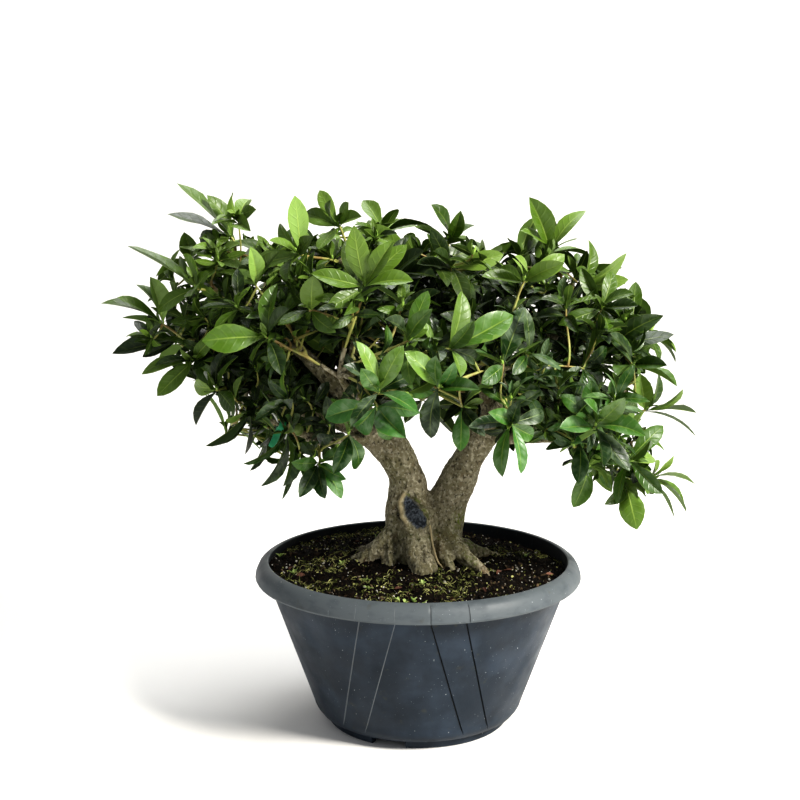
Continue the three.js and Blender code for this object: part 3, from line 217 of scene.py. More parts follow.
def join(shapes: list[Shape]) -> Shape:
    """Put shapes into one.

    Args:
        shapes: the shapes. A value that one of them lacks is 0 there.

    Returns:
        The shape.
    """
    starts = np.cumsum([0] + [len(shape.points) for shape in shapes])
    faces = [np.where(s.faces < 0, NO_POINT, s.faces + start) for s, start in zip(shapes, starts)]
    names = {name for shape in shapes for name in shape.values}
    values = {
        name: np.concatenate([s.values.get(name, np.zeros(len(s.points))) for s in shapes])
        for name in sorted(names)
    }
    return Shape(np.vstack([s.points for s in shapes]), np.vstack(faces), values)


def quads(index: Array) -> Array:
    """Faces between neighbours in a grid of point numbers, facing along columns crossed with rows."""
    corners = [index[:-1, :-1], index[:-1, 1:], index[1:, 1:], index[1:, :-1]]
    return np.stack(corners, axis=-1).reshape(-1, 4)


def wrapped(index: Array) -> Array:
    """Repeat a grid's first column after its last, so that its faces go all round."""
    return np.hstack([index, index[:, :1]])


def fan(ring: Array, pole: int) -> Array:
    """Triangles from a ring of point numbers to a pole, facing the way the ring runs round."""
    after = np.roll(ring, -1)
    return np.stack([ring, after, np.full_like(ring, pole), np.full_like(ring, NO_POINT)], axis=-1)


def capped(index: Array, pole: int) -> Array:
    """Faces of a grid that goes all round, closed by one pole below it and the next one above."""
    return np.vstack([quads(wrapped(index)), fan(index[0][::-1], pole), fan(index[-1], pole + 1)])


def repeated(faces: Array, stride: int, count: int) -> Array:
    """The same faces for many copies of a shape, whose points follow each other."""
    shifted = faces[None] + (np.arange(count) * stride)[:, None, None]
    return np.where(faces[None] < 0, NO_POINT, shifted).reshape(-1, 4)


def make_tubes(paths: Array, radii: Array, sides: int) -> Shape:
    """Round tubes along paths, each closed at both ends.

    A ring's first direction is the axis that lies least along the whole run, less its part along
    the path, so the rings don't twist.

    Args:
        paths: the tubes' middle lines, one block of rows each.
        radii: a radius for each of those points.
        sides: how many points a ring has.

    Returns:
        The tubes in one shape.
    """
    count, steps, _ = paths.shape
    along = unit(np.gradient(paths, axis=1))
    run = np.abs(unit(paths[:, -1] - paths[:, 0]))
    reference = np.eye(3)[np.argmin(run, axis=1)][:, None, :]
    side = unit(reference - (along * reference).sum(axis=-1, keepdims=True) * along)
    other = np.cross(along, side)
    angle = (2 * np.pi * np.arange(sides) / sides)[:, None]
    ring = side[:, :, None] * np.cos(angle) + other[:, :, None] * np.sin(angle)
    points = paths[:, :, None] + radii[:, :, None, None] * ring
    poles = np.stack([paths[:, 0], paths[:, -1]], axis=1)
    points = np.concatenate([points.reshape(count, -1, 3), poles], axis=1)
    faces = capped(np.arange(steps * sides).reshape(steps, sides), steps * sides)
    return Shape(points.reshape(-1, 3), repeated(faces, points.shape[1], count))


# For lumps: the least cosine between corners that share an edge, and how far corners stand out.
NEIGHBOUR = 0.4
UNEVEN = (0.75, 1.15)


def make_bits(centres: Array, sizes: Array, rng: Random) -> Shape:
    """Small uneven lumps, each a rounded block of 20 triangles turned any way.

    Args:
        centres: where each lump is.
        sizes: each lump's half lengths along its own three axes.
        rng: the seeded source of their turns and bumps.

    Returns:
        The lumps in one shape, with a value "tone" that differs from lump to lump.
    """
    golden = (1 + math.sqrt(5)) / 2
    pairs = np.array([[0, a, b * golden] for a in (-1, 1) for b in (-1, 1)])
    corners = unit(np.vstack([np.roll(pairs, k, axis=1) for k in range(3)]))
    # corners that share an edge differ by less in direction than any others
    near = corners @ corners.T > NEIGHBOUR
    triples = [three for three in combinations(range(len(corners)), 3) if near[np.ix_(three, three)].all()]
    faces = np.array(triples)
    a, b, c = (corners[faces[:, k]] for k in range(3))
    inward = (np.cross(b - a, c - a) * a).sum(axis=1) < 0
    faces[inward] = faces[inward][:, ::-1]
    faces = np.column_stack([faces, np.full(len(faces), NO_POINT)])
    count, each = len(centres), len(corners)
    axes = np.linalg.qr(rng.normal(size=(count, 3, 3)))[0]
    points = corners[None] * rng.uniform(*UNEVEN, size=(count, each, 1)) * sizes[:, None, :]
    points = np.einsum("npk,nkj->npj", points, axes) + centres[:, None]
    shape = Shape(points.reshape(-1, 3), repeated(faces, each, count))
    return shape.with_values(tone=np.repeat(rng.uniform(0, 1, count), each))


def make_mesh(name: str, shape: Shape, sharp: float) -> bpy.types.Mesh:
    """Write a shape to a mesh, in metres, with its values as attributes.

    Args:
        name: the mesh's name.
        shape: the shape, in millimetres.
        sharp: edges that bend by more than this many degrees stay sharp.

    Returns:
        The mesh, with smooth faces.
    """
    mesh = bpy.data.meshes.new(name)
    corners = shape.faces.ravel()
    corners = corners[corners >= 0]
    sizes = (shape.faces >= 0).sum(axis=1)
    mesh.vertices.add(len(shape.points))
    mesh.vertices.foreach_set("co", (shape.points * MM).astype(np.float32).ravel())
    mesh.loops.add(len(corners))
    mesh.loops.foreach_set("vertex_index", corners.astype(np.int32))
    mesh.polygons.add(len(sizes))
    starts = np.concatenate([[0], np.cumsum(sizes)[:-1]])
    mesh.polygons.foreach_set("loop_start", starts.astype(np.int32))
    mesh.update(calc_edges=True)
    mesh.validate()
    for key, values in shape.values.items():
        attribute = mesh.attributes.new(key, "FLOAT", "POINT")
        attribute.data.foreach_set("value", values.astype(np.float32))
    mesh.polygons.foreach_set("use_smooth", np.ones(len(sizes), dtype=bool))
    mesh.set_sharp_from_angle(angle=math.radians(sharp))
    return mesh


def enter(name: str, data: bpy.types.ID) -> bpy.types.Object:
    """Put a mesh, a lamp or a camera into the scene.

    Args:
        name: the object's name.
        data: what it shows.

    Returns:
        The object.
    """
    thing = bpy.data.objects.new(name, data)
    bpy.context.scene.collection.objects.link(thing)
    return thing


def make_piece(
    name: str,
    shape: Shape,
    materials: list[Material],
    nodes: tuple[str, ...] = (),
    sharp: float = 40,
    which: Array | None = None,
) -> None:
    """Make one piece of the visual model, riding on the only body.

    Args:
        name: the piece's name.
        shape: its shape, in millimetres.
        materials: its materials.
        nodes: the solids that it stands for.
        sharp: edges that bend by more than this many degrees stay sharp.
        which: for each face, the number of its material.
    """
    mesh = make_mesh(name, shape, sharp)
    for material in materials:
        mesh.materials.append(material)
    if which is not None:
        mesh.polygons.foreach_set("material_index", which.astype(np.int32))
    piece = enter(name, mesh)
    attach(piece, BODY)
    if nodes:
        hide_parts(*nodes)
    LOG.info("%s: %d faces", name, len(shape.faces))


def read(rows: bpy.types.bpy_prop_collection, name: str, width: int = 1) -> Array:
    """Read one property of a mesh.

    Args:
        rows: its points, corners or faces.
        name: the property.
        width: how many numbers each has.

    Returns:
        The numbers in one row.
    """
    values = np.empty(len(rows) * width, dtype=np.float32 if name == "co" else np.int32)
    rows.foreach_get(name, values)
    return values


def evaluated(shape: Shape, kind: str, **settings: float | int | str) -> Shape:
    """Run one modifier on a shape and read the result back.

    Args:
        shape: the shape to change, in millimetres.
        kind: the modifier's type.
        settings: the modifier's settings, with lengths in metres.

    Returns:
        The new shape, without values.
    """
    piece = enter("work", make_mesh("work", shape, 180))
    modifier = piece.modifiers.new("work", kind)
    for key, value in settings.items():
        setattr(modifier, key, value)
    done = piece.evaluated_get(bpy.context.evaluated_depsgraph_get()).to_mesh()
    points = read(done.vertices, "co", 3)
    sizes = read(done.polygons, "loop_total")
    faces = np.full((len(sizes), 4), NO_POINT)
    faces[np.arange(4) < sizes[:, None]] = read(done.loops, "vertex_index")
    mesh = piece.data
    bpy.data.objects.remove(piece)
    bpy.data.meshes.remove(mesh)
    return Shape(points.reshape(-1, 3).astype(float) / MM, faces)


def node_shape(name: str) -> Shape:
    """Copy a solid's mesh, with the points that coincide made one.

    Args:
        name: the solid's node.

    Returns:
        Its shape in millimetres, without values.
    """
    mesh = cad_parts[name].data
    points = read(mesh.vertices, "co", 3).reshape(-1, 3).astype(float) / MM
    mesh.calc_loop_triangles()
    corners = read(mesh.loop_triangles, "vertices", 3)
    _, first, same = np.unique(np.round(points, 2), axis=0, return_index=True, return_inverse=True)
    faces = same.reshape(-1)[corners].reshape(-1, 3)
    a, b, c = faces.T
    faces = faces[(a != b) & (b != c) & (c != a)]
    return Shape(points[first], np.column_stack([faces, np.full(len(faces), NO_POINT)]))


def vertex_normals(shape: Shape) -> Array:
    """Work out which way a surface looks at each point.

    Args:
        shape: the shape.

    Returns:
        The mean of the faces round each point, weighted by size, at length 1.
    """
    a, b, c, d = (shape.points[shape.faces[:, k]] for k in range(4))
    last = np.where(shape.faces[:, 3:] < 0, c, d)
    normal = np.cross(c - a, last - b)
    normal = np.where(shape.faces[:, 3:] < 0, np.cross(b - a, c - a), normal)
    total = np.zeros_like(shape.points)
    for k in range(4):
        used = shape.faces[:, k] >= 0
        for axis in range(3):
            total[:, axis] += np.bincount(shape.faces[used, k], normal[used, axis], len(total))
    return unit(total)


def neighbour_mean(shape: Shape, values: Array) -> Array:
    """Take the mean of some values over the points that share an edge with each point.

    Args:
        shape: the shape.
        values: one row of values a point.

    Returns:
        The means.
    """
    faces = shape.faces
    last = np.where(faces[:, 3] < 0, faces[:, 2], faces[:, 3])
    start = np.concatenate([faces[:, 0], faces[:, 1], faces[:, 2], last])
    end = np.concatenate([faces[:, 1], faces[:, 2], last, faces[:, 0]])
    use = start != end
    start, end = start[use], end[use]
    count = np.bincount(start, minlength=len(values)) + np.bincount(end, minlength=len(values))
    total = np.zeros_like(values)
    for axis in range(values.shape[1]):
        total[:, axis] = np.bincount(start, values[end, axis], len(values))
        total[:, axis] += np.bincount(end, values[start, axis], len(values))
    return total / np.maximum(count, 1)[:, None]


# Materials

# The Mix node's sockets for the colour under the other and over it, and for their mix.
MIX_UNDER = "socket_6"
MIX_OVER = 7
MIX_OUT = 2
EVEN = (1, 1, 1)


class Surface:
    """A procedural material in the making: colours are laid over each other, then bumps."""

    def __init__(self, name: str, base: str, roughness: float, specular: float) -> None:
        """Start from a common material's plain colour and gloss.

        Args:
            name: the material's name.
            base: its main colour, as an sRGB hex code.
            roughness: how dull it is.
            specular: how strongly it shines.
        """
        self.material = bpy.data.materials.new(name)
        self.material.use_nodes = True
        self.material.diffuse_color = linear(base)
        self.tree = self.material.node_tree
        self.shader = self.tree.nodes["Principled BSDF"]
        self.shader.inputs["Roughness"].default_value = roughness
        self.shader.inputs["Specular IOR Level"].default_value = specular
        self.shader.inputs["Base Color"].default_value = linear(base)
        self.place = self.add("TexCoord", {}).outputs["Object"]
        self.paint = self.add("RGB", {}).outputs[0]
        self.paint.default_value = linear(base)
        self.normal = None

    def add(self, kind: str, settings: dict[str | int, object], **links: Socket) -> bpy.types.Node:
        """Add a shader node.

        Args:
            kind: the node's type, without its "ShaderNode" start.
            settings: values for sockets, by number or name, and for the node's own settings.
            links: outputs of other nodes, by the name or socket_ and the number of their goal.

        Returns:
            The node.
        """
        node = self.tree.nodes.new("ShaderNode" + kind)
        for key, value in settings.items():
            if isinstance(key, int) or key in node.inputs:
                node.inputs[key].default_value = value
            else:
                setattr(node, key, value)
        for key, output in links.items():
            number = key.removeprefix("socket_")
            self.tree.links.new(output, node.inputs[int(number) if number.isdigit() else key])
        return node

    def value(self, name: str) -> Socket:
        """A value that the shape carries at its points."""
        return self.add("Attribute", {"attribute_name": name}).outputs["Fac"]

    def ramp(self, share: Socket, low: float, high: float) -> Socket:
        """A value that goes from 0 to 1 while another goes from low to high."""
        return self.add("MapRange", {"From Min": low, "From Max": high}, Value=share).outputs[0]

    def noise(self, size: float, detail: float = 3, stretch: Triple = EVEN) -> Socket:
        """Soft blotches.

        Args:
            size: how wide they are, in millimetres.
            detail: how many finer layers they have.
            stretch: how many times longer they are along each axis.

        Returns:
            A value round 0.5.
        """
        scale = tuple(1 / (size * MM * s) for s in stretch)
        mapped = self.add("Mapping", {"Scale": scale}, Vector=self.place).outputs[0]
        return self.add("TexNoise", {"Scale": 1.0, "Detail": detail}, Vector=mapped).outputs[0]

    def specks(self, size: float, reach: float) -> Socket:
        """Small round specks.

        Args:
            size: how far apart they are, in millimetres.
            reach: their radius, as a share of that.

        Returns:
            A value that is 1 in a speck and 0 between them.
        """
        cells = self.add("TexVoronoi", {"Scale": 1 / (size * MM)}, Vector=self.place)
        near = self.ramp(cells.outputs["Distance"], reach, reach * 0.6)
        # each cell's own colour picks about half of the cells
        pick = self.add("SeparateColor", {}, socket_0=cells.outputs["Color"])
        return self.times(near, self.ramp(pick.outputs[0], 0.45, 0.5))

    def times(self, first: Socket, second: Socket | float) -> Socket:
        """The product of a value and another value or number."""
        return self.math("MULTIPLY", first, second)

    def math(self, kind: str, first: Socket, second: Socket | float = 0.0) -> Socket:
        """The result of one sum, on a value and another value or number."""
        settings, links = ({}, {"socket_1": second}) if isinstance(second, Socket) else ({1: second}, {})
        return self.add("Math", {"operation": kind, **settings}, socket_0=first, **links).outputs[0]

    def lay(self, code: str, share: Socket, strength: float = 1.0) -> None:
        """Lay a colour over what is there.

        Args:
            code: the colour, as an sRGB hex code.
            share: where it shows, from 0 to 1.
            strength: how much of it shows where the share is 1.
        """
        if strength < 1:
            share = self.times(share, strength)
        settings = {"data_type": "RGBA", MIX_OVER: linear(code)}
        self.paint = self.add("Mix", settings, socket_0=share, **{MIX_UNDER: self.paint}).outputs[MIX_OUT]

    def mottle(
        self, code: str, size: float, detail: float, between: Span, strength: float, stretch: Triple = EVEN
    ) -> "Surface":
        """Lay soft blotches of a colour, from where a noise has one value to where it has another."""
        self.lay(code, self.ramp(self.noise(size, detail, stretch), *between), strength)
        return self

    def bump(self, height: Socket, depth: float, strength: float = 1.0) -> None:
        """Raise the surface by a value times a depth in millimetres, over what is raised already."""
        links = {"Height": height} if self.normal is None else {"Height": height, "Normal": self.normal}
        self.normal = self.add("Bump", {"Strength": strength, "Distance": depth * MM}, **links).outputs[0]

    def grain(
        self, size: float, detail: float, depth: float, strength: float, stretch: Triple = EVEN
    ) -> "Surface":
        """Raise soft blotches, so deep in millimetres."""
        self.bump(self.noise(size, detail, stretch), depth, strength)
        return self

    def dull(self, roughness: Socket) -> None:
        """Let the roughness follow a value."""
        self.tree.links.new(roughness, self.shader.inputs["Roughness"])

    def done(self) -> Material:
        """Link what was laid and raised to the shader.

        Returns:
            The finished material.
        """
        self.tree.links.new(self.paint, self.shader.inputs["Base Color"])
        if self.normal is not None:
            self.tree.links.new(self.normal, self.shader.inputs["Normal"])
        return self.material


# Pot

# The radius of the pot's mouth, and how many times its row of panels goes round.
OPENING = 137.5
THIRDS = 3


@dataclass(frozen=True)
class PotFinish:
    """Injection moulded polypropylene, a few seasons outdoors: satin, chalky and scuffed."""

    body: str = "#1F2832"
    pale: str = "#333E4B"
    dark: str = "#171D24"
    rim: str = "#595F62"
    # pale: scuffs, pits and scratches, and the painted highlight on the mould lines
    scuff_and_highlight: str = "#B4BBBD"
    splash: str = "#47432F"
    # near black: painted shade on the mould lines and inside the pot
    shade_black: str = "#0A0C0E"
    # pale pits: millimetres apart, radius as a share of that, and how much they show
    pits: tuple[Triple, ...] = ((3.2, 0.085, 0.55), (6.5, 0.07, 0.8), (13.0, 0.045, 1.0))

    def build(self) -> Material:
        """Build the material.

        Returns:
            The material.
        """
        coat = Surface("moulded_polypropylene", self.body, 0.55, 0.22)
        # clouds of chalky bloom a hand's breadth wide, with finer ones in them
        coat.mottle(self.pale, 34, 4, (0.42, 0.7), 0.7)
        coat.mottle(self.dark, 24, 5, (0.52, 0.74), 0.5, (1, 1, 1.8))
        # the rim catches dust and bleaches first
        coat.lay(self.rim, coat.value("rim"), 0.85)
        coat.mottle(self.body, 16, 4, (0.5, 0.75), 0.35, (1, 1, 0.4))
        # the mould lines: a painted highlight where a step faces the light, and painted shade where a step
        # faces away and in the rim's grooves
        coat.lay(self.scuff_and_highlight, coat.value("worn"), 0.24)
        coat.lay(self.shade_black, coat.value("dirty"))
        # painted shade: the inside goes near black, and it is also never bleached
        coat.lay(self.shade_black, coat.value("inner"), 0.8)
        # dried splashes of the potting mix, then pale pits that gather in places
        coat.mottle(self.splash, 9, 6, (0.64, 0.76), 0.3)
        gather = coat.ramp(coat.noise(46, 2), 0.35, 0.58)
        for size, reach, share in self.pits:
            coat.lay(self.scuff_and_highlight, coat.times(coat.specks(size, reach), gather), share)
        scratch = coat.ramp(coat.noise(2.2, 2, (1, 1, 7)), 0.72, 0.78)
        coat.lay(self.scuff_and_highlight, coat.times(scratch, gather), 0.3)
        coat.dull(coat.ramp(coat.noise(26, 4), -0.45, 1.35))
        coat.grain(1.6, 3, 0.12, 0.5)
        coat.grain(24, 2, 0.5, 0.3)
        return coat.done()


@dataclass
class Pot:
    """A round training bowl, turned from one profile, with slanted panels moulded into its side."""

    rim: float = 150.0
    opening: float = OPENING
    height: float = 151.0
    rim_bottom: float = 135.5
    body_top: float = 138.8
    body_low: float = 97.0
    low_height: float = 19.0
    wall: float = 2.6
    foot: Span = (77.0, 84.0)
    foot_height: float = 6.5
    boss: float = 22.0
    notch_height: float = 6.0
    floor_top: float = 9.5
    floor_radii: Span = (88.0, 60.0)
    panel_step: float = 0.8
    panel_foot: float = 15.0
    group_middle: float = -2.3
    finish: PotFinish = PotFinish()

    # One third of the way round, from the left: degrees at the foot, degrees at the rim, how many
    # steps deep the panel is, whether the foot is notched there, the columns to the next, and
    # how the mould line is painted: 1 for a painted highlight, -1 for painted shade.
    panels: tuple[tuple[float, float, float, float, int, int], ...] = (
        (-60.0, -60.0, 0, 0, 9, 0),
        (-42.7, -19.1, 0, 0, 1, 0),
        (-42.5, -18.95, 0, 0, 1, 1),
        (-42.3, -18.8, 1, 0, 1, 1),
        (-42.1, -18.65, 1, 0, 6, 0),
        (-27.8, -6.15, 1, 0, 1, 0),
        (-27.6, -6.0, 1, 0, 1, 1),
        (-27.4, -5.85, 2, 0, 1, 1),
        (-27.2, -5.7, 2, 1, 8, 0),
        (-6.2, -1.35, 2, 1, 1, 0),
        (-5.6, -1.2, 2, 0, 8, 0),
        (25.85, 5.35, 2, 0, 1, 0),
        (26.1, 5.5, 3, 0, 1, -1),
        (26.4, 5.7, 3, 0, 1, -1),
        (26.65, 5.85, 1, 0, 6, 0),
        (41.75, 17.95, 1, 0, 1, 0),
        (42.0, 18.1, 2, 0, 1, -1),
        (42.3, 18.3, 2, 0, 1, -1),
        (42.55, 18.45, 0, 0, 8, 0),
        (60.0, 60.0, 0, 0, 0, 0),
    )

    def inside(self, height: float) -> float:
        """Radius of the inside of the wall at a height."""
        slope = (self.body_top - self.body_low) / (self.rim_bottom - self.low_height)
        return self.body_low - self.wall + slope * (height - self.low_height)

    def profile(self) -> Array:
        """The outline that is turned, from the middle of the underside out, up and back in.

        Returns:
            Rows of radius, height, how much of the panels' depth shows, and marks on the rim and inside.
        """
        inner, outer = self.foot
        boss, lift, low = self.boss, self.foot_height, self.body_low
        under = [(0, 0), (boss - 0.8, 0), (boss, 0.8), (boss + 1, lift), (inner - 1, lift)]
        under += [(inner - 0.2, 0.9), (inner + 0.7, 0), (outer - 0.9, 0), (outer + 0.1, 1.0)]
        under += [(outer + 1, lift)]
        corner = [(outer + 4, lift + 1.2), (low - 5.2, lift + 3.4), (low - 2.2, lift + 7.2)]
        corner += [(low - 0.5, lift + 10.4)]
        heights = np.linspace(self.low_height, self.rim_bottom - 3, 26)
        side = [(self.inside(z) + self.wall, z) for z in heights]
        curl = [(self.body_top + 0.4, self.rim_bottom - 0.6), (self.body_top + 3.5, self.rim_bottom - 0.4)]
        curl += [(self.rim - 3.2, self.rim_bottom - 0.9), (self.rim - 0.9, self.rim_bottom - 0.4)]
        curl += [(self.rim, self.rim_bottom + 1.2), (self.rim - 0.5, self.rim_bottom + 4.2)]
        top = self.height
        roll = [(self.rim - 1.7, top - 8), (self.rim - 3.6, top - 4.2), (self.rim - 6, top - 1.8)]
        roll += [(self.rim - 8.6, top - 0.5), (self.opening + 1.6, top), (self.opening + 0.4, top - 0.5)]
        roll += [(self.opening, top - 1.7), (self.opening - 0.2, top - 8)]
        back = [(self.inside(z), z) for z in np.linspace(self.rim_bottom, self.low_height, 8)]
        floor = [(radius, self.floor_top) for radius in (*self.floor_radii, 0)]
        rows = under + corner + side + curl + roll + back + floor
        out = np.zeros((len(rows), 5))
        out[:, :2] = rows
        first = len(under)
        last = first + len(corner) + len(side)
        out[first:last, 2] = smooth(out[first:last, 1], 12, 22)
        out[last : last + len(curl) + len(roll) - 2, 3] = 1
        out[last + 4 : last + len(curl) + len(roll) - 5, 2] = 0.35
        out[-(len(back) + len(floor) + 2) :, 4] = 1
        return out

    def build(self) -> None:
        """Build the pot: its profile turned, less the panels' depth.

        A column runs up the cone as a straight line that is seen from the front of its third.
        """
        knots = np.array(self.panels)
        count = knots[:-1, 4].astype(int)
        place = np.concatenate([k + np.arange(n) / n for k, n in enumerate(count)])
        columns = [np.interp(place, np.arange(len(knots)), knots[:, k]) for k in (0, 1, 2, 3, 5)]
        low, high, depth, notch, line = (np.tile(column, THIRDS) for column in columns)
        middle = np.repeat(np.arange(THIRDS) * 360 / THIRDS, len(place)) + self.group_middle - 90
        rows = self.profile()
        radius, height, shows, is_rim, is_inner = (rows[:, k : k + 1] for k in range(5))
        share = np.clip((height - self.panel_foot) / (self.rim_bottom - self.panel_foot), 0, 1)
        foot, head = self.body_low * np.sin(np.radians(low)), self.body_top * np.sin(np.radians(high))
        angle = np.arcsin(mix(foot, head, share) / mix(self.body_low, self.body_top, share))
        angle = np.radians(middle) + angle
        r = radius - depth * self.panel_step * shows
        z = np.broadcast_to(height, r.shape)
        in_ring = (radius > self.foot[0] - 1.1) & (radius < self.foot[1] + 1.1)
        z = np.where(in_ring & (notch > 0.5) & (z < self.notch_height), self.notch_height, z)
        points = np.stack([r * np.cos(angle), r * np.sin(angle), z], axis=-1)[1:-1].reshape(-1, 3)
        index = np.arange(len(points)).reshape(len(rows) - 2, -1)
        poles = np.array([[0, 0, 0], [0, 0, self.floor_top]])
        shape = Shape(np.vstack([points, poles]), capped(index, len(points)))
        tables = {
            "rim": is_rim,
            "inner": is_inner,
            # painted highlight on the mould lines' steps that face the light, painted shade on those that
            # face away and in the rim's grooves
            "worn": np.maximum(line, 0) * shows * (1 - is_rim),
            "dirty": np.maximum(np.maximum(-line, 0), 0.45 * np.abs(line) * is_rim) * shows,
        }
        for key, table in tables.items():
            table = np.broadcast_to(table, r.shape)[1:-1].ravel()
            shape.with_values(**{key: np.concatenate([table, [0, 0]])})
        make_piece("pot_shell", shape, [self.finish.build()], ("pot",), sharp=28)


# Wood

# The middle lines of the solids' trunk: x, y, z and radius.
LIMBS = [
    [
        (-2, 3, 122, 25), (-7, 1, 160, 24), (-9, 0, 190, 22), (-9, 0, 210, 19),
        (-12, 0, 230, 16.5), (-22, -1, 250, 17), (-36, -3, 266, 17), (-52, -6, 284, 12),
    ],
    [
        (18, 6, 122, 22), (21, 4, 160, 21), (24, 3, 190, 19), (29, 2, 208, 18),
        (38, 2, 226, 17), (47, 1, 244, 14.5), (57, 0, 262, 14.5), (68, 0, 282, 12),
    ],
]
ROOTS = [
    [(2, -8, 172, 12), (6, -27, 158, 9), (8, -38, 148, 5), (9, -46, 136, 3)],
    [(-14, -6, 170, 11), (-26, -16, 155, 7), (-33, -24, 145, 4.5), (-40, -32, 134, 3)],
    [(-14, 2, 168, 11), (-36, 0, 155, 7.5), (-56, 1, 148, 5), (-72, 4, 136, 3)],
    [(-14, 8, 166, 10), (-42, 16, 153, 6), (-64, 24, 147, 4), (-78, 30, 136, 2.6)],
    [(24, -4, 168, 11), (40, -18, 155, 7.5), (56, -30, 148, 5), (68, -40, 136, 3)],
    [(28, 6, 166, 10), (50, 14, 153, 7), (68, 24, 147, 4.5), (84, 34, 136, 2.6)],
    [(14, 14, 168, 12), (18, 34, 154, 8), (24, 52, 147, 5), (30, 68, 136, 3)],
    [(-2, 14, 168, 11), (-14, 34, 154, 7), (-26, 50, 147, 4.5), (-38, 62, 136, 3)],
]
SCAR = [(4, -4, 188, 16), (-1, -20, 191, 15), (-4, -30, 193, 12.5)]
# The painted face of the cut, as corners in x and z.
CUT_EDGE = np.array([
    (-11.2, 212.6), (1.2, 205.3), (7.5, 196.3), (7.5, 187.3), (-3.2, 185.4), (-12.1, 196.2), (-14.8, 206.2),
])
CUT_MIDDLE = (-3.0, 199.0)
# Fuller wood under the cut and over the roots, down the front, where the base spreads.
SWELLINGS = [
    [(1, -12, 180, 15), (0, -24, 171, 14), (0, -32, 162, 12.5), (4, -38, 154, 11.5), (7, -42, 144, 9)],
    [(-16, -4, 180, 13), (-26, -8, 170, 11), (-38, -10, 160, 8.5), (-49, -12, 151, 6.5), (-58, -14, 141, 4)],
    [(-14, -10, 168, 10), (-22, -19, 157, 6.5), (-27, -24, 149, 5), (-31, -28, 140, 3.5)],
    [(22, -6, 178, 13), (32, -14, 166, 10.5), (44, -21, 156, 8), (54, -26, 149, 6), (63, -30, 140, 4)],
    [(16, -12, 172, 10), (23, -22, 160, 6.5), (28, -29, 151, 5), (33, -33, 140, 3.5)],
]
# Marks on the front, as x, z and how far each reaches along them: a pit under the left limb,
# sunk and painted dark as shade, two rusty places, and moss on the right.
PIT = (-41, 281, 9, 7)
RUST = ((18.3, 168, 5, 7), (60, 148, 7, 6))
MOSSY = (38, 188, 7, 9)
# A thin dead root that runs down beside the cut, as x and z on the trunk's front.
THREAD = np.array([(10.2, 189.0), (12.9, 171.0), (16.4, 160.0), (21.8, 149.0)])
# The branches: the left limb's, one from the middle, then the right limb's.
BRANCHES = [
    [(-40, -6, 266, 9), (-78, -22, 284, 7), (-120, -34, 300, 5), (-160, -34, 318, 2.6)],
    [(-46, -5, 276, 10), (-88, -10, 326, 7), (-124, -18, 362, 5), (-158, -22, 392, 2.6)],
    [(-40, -14, 272, 8), (-50, -52, 296, 6), (-58, -92, 318, 4), (-66, -116, 336, 2.6)],
    [(-44, 2, 274, 9), (-72, 46, 304, 6), (-96, 86, 330, 4), (-112, 112, 350, 2.6)],
    [(-46, -4, 276, 9), (-58, -12, 330, 6), (-52, -26, 376, 4), (-58, -28, 416, 2.6)],
    [(-38, -10, 264, 7), (-66, -38, 268, 5), (-96, -60, 276, 3.6), (-128, -72, 292, 2.4)],
    [(-40, 6, 268, 8), (-26, 54, 304, 6), (-8, 92, 340, 4), (0, 116, 366, 2.6)],
    [(62, -2, 268, 9), (104, -10, 280, 7), (146, -16, 284, 5), (182, -16, 290, 2.6)],
    [(66, 0, 278, 10), (98, 2, 322, 7), (124, -4, 362, 5), (142, -8, 392, 2.6)],
    [(62, -8, 270, 8), (70, -48, 298, 6), (72, -90, 322, 4), (66, -118, 342, 2.6)],
    [(64, 6, 272, 9), (88, 48, 304, 6), (112, 84, 330, 4), (130, 106, 350, 2.6)],
    [(66, 0, 278, 9), (58, -2, 330, 6), (40, -8, 374, 4), (34, -12, 412, 2.6)],
    [(64, -6, 266, 7), (96, -40, 270, 5), (126, -66, 276, 3.6), (144, -76, 282, 2.6)],
]


# Soil


@dataclass(frozen=True)
class SoilFinish:
    """Damp potting mix of composted bark and peat, with what grows and falls on it."""

    peat: str = "#070503"
    bark: str = "#22180F"
    pale: str = "#6A5A45"
    moss: str = "#3B4514"
    straw: str = "#CCCB86"
    sprout: str = "#66803A"
    sprout_pale: str = "#B3C27A"
    grit: str = "#DEDCD2"
    grit_dark: str = "#8A857A"
    leaf: str = "#38211A"
    leaf_pale: str = "#7B5747"

    def mix(self) -> Material:
        """The bed: near black, fibrous and matt, since it is damp."""
        coat = Surface("potting_mix", self.peat, 0.95, 0.1).mottle(self.bark, 5, 6, (0.48, 0.7), 0.6)
        return coat.mottle(self.pale, 2.4, 4, (0.63, 0.75), 0.5).grain(1.4, 5, 1.2, 0.8).done()

    def by_tone(self, name: str, low: str, high: str, roughness: float, grain: float) -> Material:
        """Make the finish of small bits that differ from one to the next.

        Args:
            name: the material's name.
            low: the darkest bits' colour.
            high: the palest bits' colour.
            roughness: how dull they are.
            grain: the width of their own mottling, in millimetres.

        Returns:
            The material.
        """
        coat = Surface(name, low, roughness, 0.15)
        coat.lay(high, coat.value("tone"))
        coat.mottle(low, grain, 4, (0.45, 0.7), 0.55)
        coat.grain(grain * 0.4, 3, grain * 0.15, 0.7)
        return coat.done()


@dataclass(frozen=True)
class Bits:
    """One kind of loose bits on the bed: how many, how large, and between which colours."""

    name: str
    count: int
    shape: Triple
    largest: float
    lift: float
    colours: tuple[str, str]


BITS = (
    Bits("soil_crumbs", 3400, (1.6, 1.1, 0.8), 3.4, 0.2, ("peat", "bark")),
    Bits("bark_chips", 520, (2.3, 1.3, 0.5), 4.2, 0.7, ("bark", "pale")),
    Bits("pumice_grit", 420, (0.9, 0.8, 0.7), 1.7, 0.7, ("grit_dark", "grit")),
    Bits("moss_tufts", 420, (1.1, 0.8, 0.6), 2.2, 0.6, ("moss", "straw")),
)
